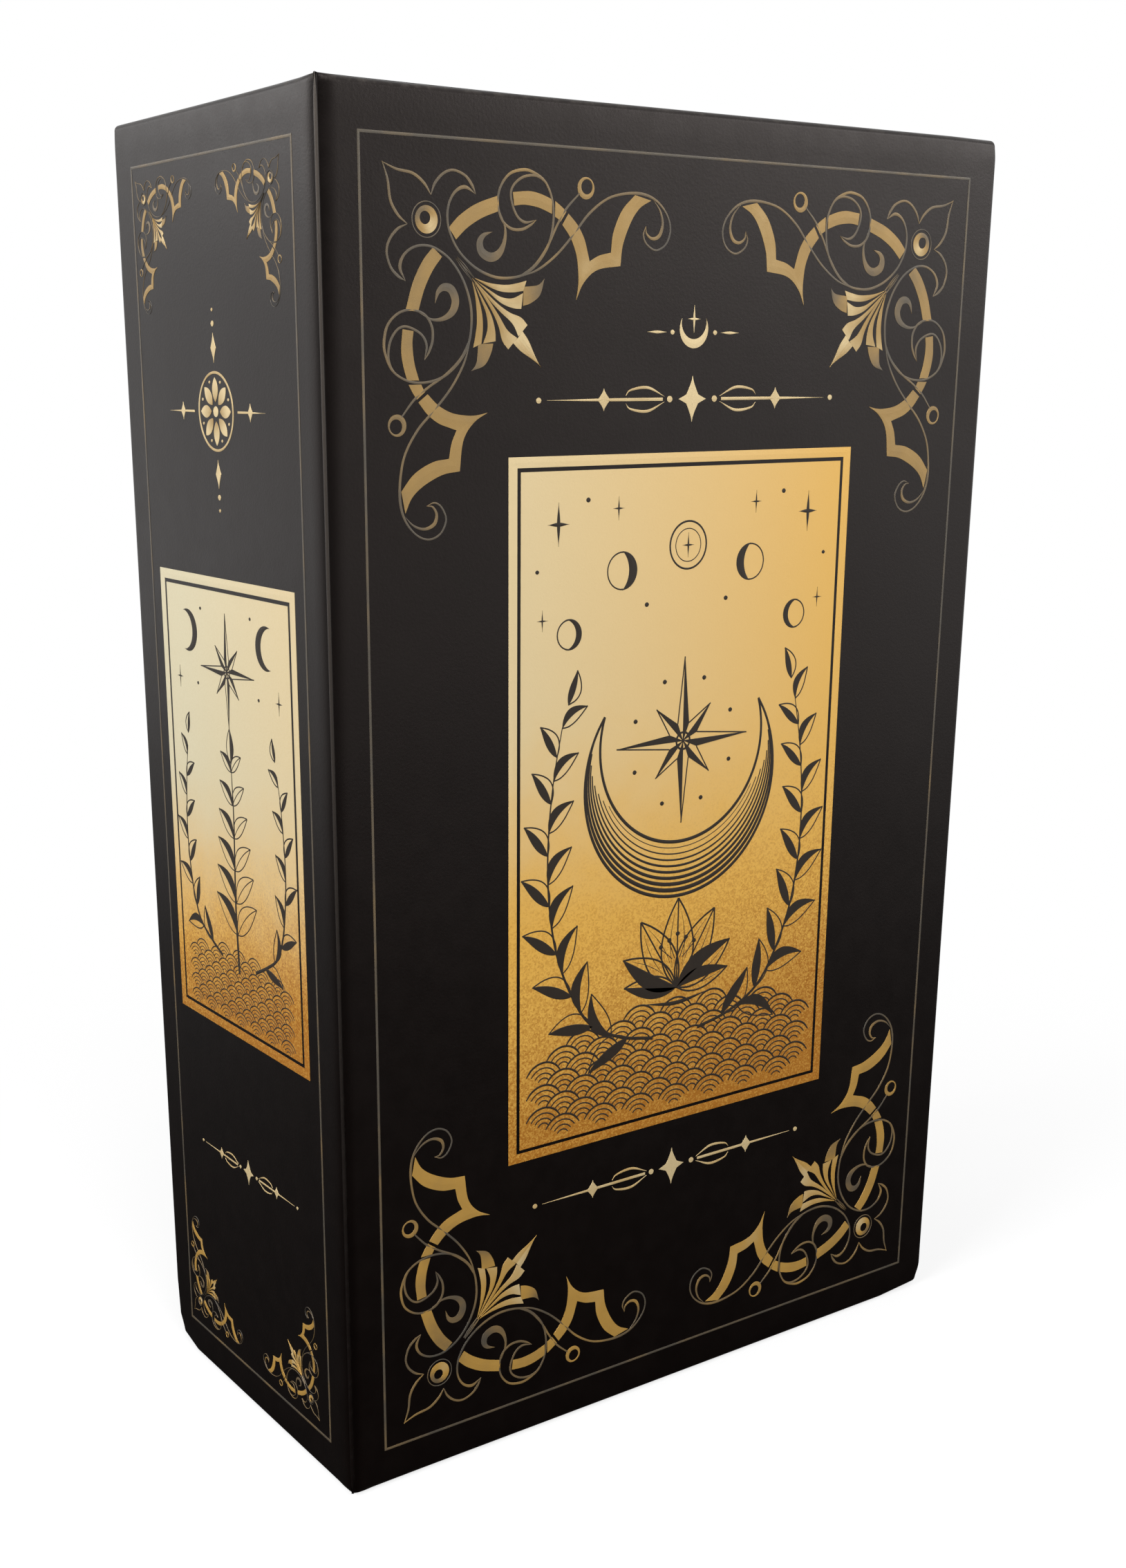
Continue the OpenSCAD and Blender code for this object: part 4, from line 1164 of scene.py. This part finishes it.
def corner_places(near_in, far_in, end_in, width):
    """Where a face's four corner ornaments go: name, flips and offset in the face's own plane."""
    for head in (True, False):
        for near in (True, False):
            name = ("head" if head else "foot") + ("_hinge" if near else "_far")
            flip = (1 if near else -1, -1 if head else 1)
            yield name, flip, (near_in if near else width - far_in, FACE_H - end_in if head else end_in)


def print_face(face, place, body, scale, corners, drawing, ornaments, *paleness):
    """All the printing of one face: frame line, panel, drawing, corners and small ornaments."""
    gold = bpy.context.scene.box_gold
    line = bpy.data.materials.get("gold_line") or gold_line()
    ink = bpy.data.materials.get("drawing_ink") or drawing_ink()
    axis, start = (0, X_SPINE) if face == "front" else (1, Y_FRONT)

    def measures(low, high):
        """A box's size on the face and the middle of it, in millimetres."""
        return (((high[axis] - low[axis]) / MM, (high.z - low.z) / MM),
                (((low[axis] + high[axis]) / 2 - start) / MM, ((low.z + high.z) / 2 - Z_FOOT) / MM))

    def lay(name, relief, material, height, *nodes, **placing):
        """Prints a drawing on the face, in place of CAD nodes if any are named."""
        piece = Relief().add(relief, **placing).build(face + "_" + name, place, height, material)
        if nodes:
            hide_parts(*nodes)
        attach(piece, body)

    size, middle = measures(*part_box(face + "_gold_frame"))
    lay("frame_line", frame_line(*size, line=0.28, gleam=0.08), line, gold.height, face + "_gold_frame",
        offset=middle)
    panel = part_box(face + "_gold_panel")
    size, middle = measures(*panel)
    field = gold_field("gold_field_" + face, *panel, *paleness)
    lay("gold_field", gold_panel(*size, rim=1.0, gap=0.35), field, gold.height, face + "_gold_panel",
        offset=middle)
    lay("drawing", drawing, ink, gold.ink_height, offset=middle)
    ornament = corner_ornament()
    for name, flip, offset in corners:
        lay("corner_" + name, ornament, line, gold.height, scale=scale, flip=flip, offset=offset)
    for name, relief, up, share in ornaments:
        lay(name, relief, line, gold.height, scale=share, offset=(middle[0], up))


# ---- tray, contents and hidden parts ----


def softened_copy(node, name, body, edge, material):
    """A merged copy of a CAD node whose edges get a small round bevel, shown in its place."""
    mesh = frame["nodes"][node].data.copy()
    mesh.name = name
    merger = bmesh.new()
    merger.from_mesh(mesh)
    bmesh.ops.remove_doubles(merger, verts=merger.verts, dist=0.001 * MM)
    bmesh.ops.dissolve_limit(merger, angle_limit=math.radians(1), verts=merger.verts, edges=merger.edges)
    merger.to_mesh(mesh)
    merger.free()
    mesh.materials.clear()
    mesh.materials.append(material)
    piece = linked(name, mesh)
    bevel = piece.modifiers.new("soft edges", "BEVEL")
    bevel.width = edge
    bevel.segments = 3
    bevel.limit_method = "ANGLE"
    bevel.use_clamp_overlap = True
    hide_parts(node)
    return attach(piece, body)


def ease_corner(piece, back):
    """Draws back the board's sharp corner under the hinge, where the paper dips beside the bead, and
    pushes the bumped corners in with the paper."""
    points = np.zeros(3 * len(piece.data.vertices), np.float32)
    piece.data.vertices.foreach_get("co", points)
    points = points.reshape(-1, 3)
    corner = (points[:, 0] < X_SPINE + MM) & (points[:, 1] < Y_FRONT + MM)
    points[corner] += np.array(back, np.float32)
    piece.data.vertices.foreach_set("co", bumped(points).astype(np.float32).ravel())
    piece.data.update()


def dress(material, *nodes):
    """Gives CAD nodes their finished material."""
    for node in nodes:
        mesh = frame["nodes"][node].data
        mesh.materials.clear()
        mesh.materials.append(material)


def lift_ribbon():
    """The ribbon: a line from behind the deck, up beside it and over the guidebook, carried across the
    ribbon's width.  Its free end is cut on a slant and lifts by the square of the way along the tail."""
    contents = bpy.context.scene.box_contents
    thick = RIBBON_TAIL[1].y - RIBBON_TAIL[0].y
    bend = contents.ribbon_bend
    side_x = RIBBON_RUN[1].x - thick / 2
    floor_y = RIBBON_RUN[1].y - thick / 2
    tail_y = RIBBON_TAIL[0].y + thick / 2
    line = np.vstack([
        straight((RIBBON_RUN[0].x, floor_y), (side_x - bend, floor_y), 30)[:-1],
        arc((side_x - bend, floor_y - bend), bend, 90, 0, 8),
        straight((side_x, floor_y - bend), (side_x, tail_y + bend), 60)[1:-1],
        arc((side_x - bend, tail_y + bend), bend, 0, -90, 8),
        straight((side_x - bend, tail_y), (RIBBON_TAIL[0].x, tail_y), 30)[1:],
    ])
    tail = np.clip((side_x - bend - line[:, 0]) / (side_x - bend - RIBBON_TAIL[0].x), 0, 1)
    on_tail = (line[:, 1] < tail_y + bend / 2) & (np.arange(len(line)) > len(line) / 2)
    line[:, 1] -= np.where(on_tail, contents.ribbon_lift * tail**2, 0)
    along = np.gradient(line, axis=0)
    along /= np.linalg.norm(along, axis=1, keepdims=True)
    outwards = np.stack([along[:, 1], -along[:, 0]], axis=1)
    across = np.linspace(0, 1, 9)
    width = RIBBON_TAIL[1].z - RIBBON_TAIL[0].z
    z = RIBBON_TAIL[0].z + across * width
    slant = np.where(on_tail, tail, 0)[:, None] * contents.ribbon_slant * (1 - across)[None]
    slanted = -slant[:, :, None] * along[:, None]
    inside, outside = (
        raised((line + side * thick * outwards)[:, None] + slanted, z[None]) for side in (-0.5, 0.5))
    sheet = np.concatenate([inside, outside[:, ::-1]], axis=1)
    piece = solid("lift_ribbon", sheet.reshape(-1, 3), tube_faces(*sheet.shape[:2]), satin_ribbon())
    length = path_length(line)
    uv_across = np.concatenate([across, across[::-1]]) * width
    per_point = np.stack(np.broadcast_arrays(uv_across[None], length[:, None]), axis=2).reshape(-1, 2)
    layer = piece.data.uv_layers.new(name="length")
    corners = np.zeros(len(piece.data.loops), np.int32)
    piece.data.loops.foreach_get("vertex_index", corners)
    layer.data.foreach_set("uv", per_point[corners].astype(np.float32).ravel())
    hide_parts("ribbon_base", "ribbon_tail")
    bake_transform(piece)
    return piece


def guide_print():
    """The guidebook's printing: a frame line, a rosette above the ribbon and a divider below it."""
    drawing = frame_line(61, 111, 0.3, 0.2)
    drawing.add(rosette(9.0), offset=(0, 24))
    drawing.add(divider(28), offset=(0, -30))
    return drawing


def card_print():
    """The cards' printing: two frame lines round a lattice of lozenges, and a star in its middle."""
    drawing = frame_line(62, 112, 0.35, 0.3)
    drawing.add(frame_line(58.5, 108.5, 0.18, 0.3))
    for row in range(-8, 9):
        for column in range(-4, 5):
            across, up = 6.2 * column + (3.1 if row % 2 else 0), 6.0 * row
            if abs(across) < 27 and math.hypot(across, up) > 12.5:
                drawing.lozenge((across, up), 0.9, 1.5, 0.4)
    drawing.ring((0, 0), 10.5, 10.1, gleam=0.4, count=60)
    drawing.star((0, 0), 9.4, 5.6, 2.1, 0.22, 0.6)
    return drawing


# ---- stage ----


def stage_floor():
    """The floor: a wide round sheet.  To the camera it is pale, with the box's shadow, and fades to
    white away from the box; to everything else it is the dull table that the box reflects."""
    stage = bpy.context.scene.box_stage
    radius = np.linspace(0, 1, 24)[1:] ** 2 * 3.0
    ring = arc((0, 0), 1, 0, 360, 65)[:-1]
    flat = radius[:, None, None] * ring[None]
    points = raised(flat, 0.0).reshape(-1, 3)
    faces = strip_faces(len(radius), len(ring)).tolist() + [list(range(len(ring)))]
    mesh = bpy.data.meshes.new("floor")
    mesh.from_pydata(points.tolist(), [], faces)
    nodes = Finish("pale_floor")
    pale = nodes.mottled(nodes.group(paper_grain(), Scale=30.0)["Clouds"], stage.floor, 0.985, 1.0)
    seen, reflected = nodes.rays()
    place = nodes.place()
    away = nodes.vector("LENGTH", place)["Value"]
    room = nodes.group(dark_side(), Way=place)["Share"]
    # painted shadow: to reflections the floor is nearly black beside the box and pales out to 1.1 m
    table_and_shadow = nodes.mixed(nodes.ranged(away, 0.0, 1.1), stage.table_and_shadow, pale)
    mesh.materials.append(nodes.shade(
        Base_Color=nodes.mixed(seen, table_and_shadow, pale), Roughness=0.85, Specular_IOR_Level=0.1))
    fading = nodes.times(seen, nodes.ranged(away, 0.03, 0.17, 0.72, 1.0))
    far = nodes.times(nodes.ranged(away, 0.15, 1.2), room)
    share = nodes.maths("MAXIMUM", fading, nodes.times(reflected, far))
    glow = nodes.add("Emission", {"Color": (1, 1, 1), "Strength": 1.0}).outputs[0]
    blend = nodes.add("MixShader", {0: share, 1: nodes.shader.outputs[0], 2: glow}).outputs[0]
    nodes.feed(nodes.output.inputs[0], blend)
    linked("floor", mesh)


def stage_sky():
    """The world: white to the camera and in reflections, but for the dark side of the room behind the
    camera, and softer as light."""
    world = bpy.data.worlds.new("sky")
    world.use_nodes = True
    world.node_tree.nodes.clear()
    nodes = Nodes(world.node_tree)
    seen, reflected = nodes.rays()
    reflection = nodes.times(reflected, nodes.group(dark_side(), Way=nodes.place())["Share"])
    light = nodes.times(nodes.maths("SUBTRACT", 1.0, reflected), bpy.context.scene.box_stage.sky)
    strength = nodes.maths("MAXIMUM", nodes.maths("MAXIMUM", seen, reflection), light)
    back = nodes.add("Background", {"Color": (1, 1, 1), "Strength": strength}).outputs[0]
    nodes.add("OutputWorld", {0: back})
    bpy.context.scene.world = world


def area_lamp(name, place, size, power):
    """A soft lamp at a place, aimed at the middle of the box."""
    data = bpy.data.lights.new(name, "AREA")
    data.shape = "RECTANGLE"
    data.size, data.size_y = size
    data.energy = power
    lamp = linked(name, data)
    lamp.location = place
    lamp.rotation_mode = "QUATERNION"
    lamp.rotation_quaternion = (Vector((0, 0, 0.065)) - Vector(place)).to_track_quat("-Z", "Y")


def photo_camera():
    """The camera, where a fit to the box's corners and printed lines in the photograph puts it."""
    picture_w, picture_h = 1629, 2268
    focal_px, centre_px = 2708.7, (721.9, 1347.5)
    right = Vector((0.824127, -0.566404, -0.001197))
    up = Vector((0.163222, 0.235467, 0.958078))
    data = bpy.data.cameras.new("camera")
    data.sensor_width = 36.0
    data.lens = data.sensor_width * focal_px / picture_h
    data.shift_x = (picture_w / 2 - centre_px[0]) / picture_h
    data.shift_y = (centre_px[1] - picture_h / 2) / picture_h
    data.clip_start, data.clip_end = 1 * MM, 20.0
    camera = linked("camera", data)
    turn = Matrix((right, up, right.cross(up))).transposed().to_4x4()
    camera.matrix_world = Matrix.Translation(Vector((-119.5, -161.6, 107.1)) * MM) @ turn
    bpy.context.scene.camera = camera


# ---- operators ----


class BOX_OT_papers(bpy.types.Operator):
    """Builds the printed paper of the lid and of the case, and the bead of the hinge"""

    bl_idname = "card_box.papers"
    bl_label = "Printed papers"

    def execute(self, context):
        front_paper()
        case_paper()
        hinge_bead()
        return {"FINISHED"}


class BOX_OT_front_printing(bpy.types.Operator):
    """Builds the gold printing on the front"""

    bl_idname = "card_box.front_printing"
    bl_label = "Front printing"

    def execute(self, context):
        ornaments = [("head_moon", moonrise(), FACE_H - 18.9, 1.0),
                     ("head_divider", divider(34), FACE_H - 25.2, 1.0),
                     ("foot_divider", divider(34), FACE_H - 104.0, 1.0)]
        print_face("front", on_front, "lid", 1.0, corner_places(0, 0, 0, FRONT_W), front_drawing(),
                   ornaments, context.scene.box_gold.pale, 0.32, 0.68, 0.95)
        return {"FINISHED"}


class BOX_OT_spine_printing(bpy.types.Operator):
    """Builds the gold printing on the spine"""

    bl_idname = "card_box.spine_printing"
    bl_label = "Spine printing"

    def execute(self, context):
        gold = context.scene.box_gold
        ornaments = [("head_rosette", rosette(3.6), FACE_H - 26.2, 1.0),
                     ("foot_divider", divider(30), FACE_H - 102.0, 0.66)]
        corners = corner_places(near_in=3.9, far_in=2.5, end_in=3.0, width=SPINE_W)
        print_face("spine", on_spine, "box", gold.spine_scale, corners, spine_drawing(),
                   ornaments, gold.cream_and_sheen, 0.14, 0.62, 0.3)
        return {"FINISHED"}


class BOX_OT_tray(bpy.types.Operator):
    """Finishes the tray's paper, its lining and the lid's lining"""

    bl_idname = "card_box.tray"
    bl_label = "Tray and linings"

    def execute(self, context):
        black = context.scene.box_paper.tray_black
        wrap = plain_paper("tray_paper", black, 0.62, 0.02 * MM)
        lining = plain_paper("lining_paper", [1.2 * part for part in black], 0.5, 0.012 * MM, 0.35, 450.0)
        softened_copy("tray_wrap", "tray_paper", "box", 0.06 * MM, wrap)
        softened_copy("lid_liner", "lid_lining", "lid", 0.06 * MM, lining)
        dress(lining, "tray_floor_liner")
        return {"FINISHED"}


class BOX_OT_boards(bpy.types.Operator):
    """Finishes the greyboards, the magnets and the steel bars that the paper hides"""

    bl_idname = "card_box.boards"
    bl_label = "Boards and magnets"

    def execute(self, context):
        board = plain_paper("greyboard", (0.30, 0.29, 0.27), 0.8, 0.06 * MM, 0.2, 500.0)
        for side, body, back in (("front", "lid", (0.75 * MM, 0, 0)), ("spine", "box", (0, 0.75 * MM, 0)),
                                 ("back", "box", (0, 0, 0))):
            piece = softened_copy(side + "_board", side + "_greyboard", body, 0.25 * MM, board)
            ease_corner(piece, back)
        dress(board, "tray_floor", "tray_head_wall", "tray_tail_wall", "tray_spine_wall",
              "tray_fore_wall_inner", "tray_fore_wall_outer")
        dress(metal("nickel", (0.66, 0.64, 0.6), 0.2, 1.0), "tray_magnets")
        dress(metal("mild_steel", (0.5, 0.5, 0.51), 0.35, 0.05), "lid_keepers")
        return {"FINISHED"}


class BOX_OT_contents(bpy.types.Operator):
    """Finishes the cards and the guidebook, and builds the lift ribbon"""

    bl_idname = "card_box.contents"
    bl_label = "Cards, guidebook and ribbon"

    def execute(self, context):
        page = context.scene.box_contents.page
        dress(card_stock(), "trump_cards", "wand_cards", "cup_cards", "sword_cards", "coin_cards")
        dress(plain_paper("guide_cover_paper", (0.02, 0.0185, 0.017), 0.38, 0.006 * MM, 0.45), "guide_cover")
        dress(plain_paper("page_paper", page, 0.8, 0.02 * MM, 0.2, 900.0), "guide_pages")
        dress(metal("staple_wire", (0.6, 0.6, 0.61), 0.3, 1.0), "guide_staples")
        line = bpy.data.materials["gold_line"]
        for name, body, printing, box, height, sink in (
                ("guide_gold", "guidebook", guide_print(), GUIDE, 0.015 * MM, 0.01),
                ("card_gold", "deck", card_print(), DECK_TOP, 0.008 * MM, 0.005)):
            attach(printing.build(name, on_middle(box), height, line, sink), body)
        lift_ribbon()
        return {"FINISHED"}


class BOX_OT_stage(bpy.types.Operator):
    """Sets the camera, the floor, the sky and the lamps"""

    bl_idname = "card_box.stage"
    bl_label = "Stage"

    def execute(self, context):
        stage = context.scene.box_stage
        photo_camera()
        stage_floor()
        stage_sky()
        area_lamp("key_lamp", (-0.25, -0.75, 0.75), (0.7, 0.5), stage.key_power)
        area_lamp("spine_lamp", (-0.95, -0.15, 0.7), (0.5, 0.5), stage.spine_power)
        area_lamp("right_lamp", (0.85, -0.75, 0.42), (0.6, 0.35), stage.right_power)
        area_lamp("left_lamp", (-0.75, 0.85, 0.42), (0.6, 0.35), stage.left_power)
        context.scene.view_settings.view_transform = "Standard"
        return {"FINISHED"}


class BOX_PT_panel(bpy.types.Panel):
    """Lists the box's builders and their settings"""

    bl_label = "Card box"
    bl_idname = "BOX_PT_panel"
    bl_space_type = "VIEW_3D"
    bl_region_type = "UI"
    bl_category = "Card box"

    def draw(self, context):
        for operator in OPERATORS:
            self.layout.operator(operator.bl_idname)
        for name, group in SETTINGS.items():
            column = self.layout.column(heading=group.__doc__)
            for key in group.__annotations__:
                column.prop(getattr(context.scene, name), key)


SETTINGS = {"box_paper": PaperSettings, "box_gold": GoldSettings, "box_contents": ContentsSettings,
            "box_stage": StageSettings}
OPERATORS = (BOX_OT_stage, BOX_OT_papers, BOX_OT_front_printing, BOX_OT_spine_printing, BOX_OT_tray,
             BOX_OT_boards, BOX_OT_contents)
CLASSES = (*SETTINGS.values(), *OPERATORS, BOX_PT_panel)


def register():
    for group in CLASSES:
        bpy.utils.register_class(group)
    for name, group in SETTINGS.items():
        setattr(bpy.types.Scene, name, bpy.props.PointerProperty(type=group))


def unregister():
    for name in SETTINGS:
        delattr(bpy.types.Scene, name)
    for group in reversed(CLASSES):
        bpy.utils.unregister_class(group)


def main():
    register()
    bpy.ops.card_box.stage()
    bpy.ops.card_box.papers()
    bpy.ops.card_box.front_printing()
    bpy.ops.card_box.spine_printing()
    bpy.ops.card_box.tray()
    bpy.ops.card_box.boards()
    bpy.ops.card_box.contents()


if __name__ == "__main__":
    main()
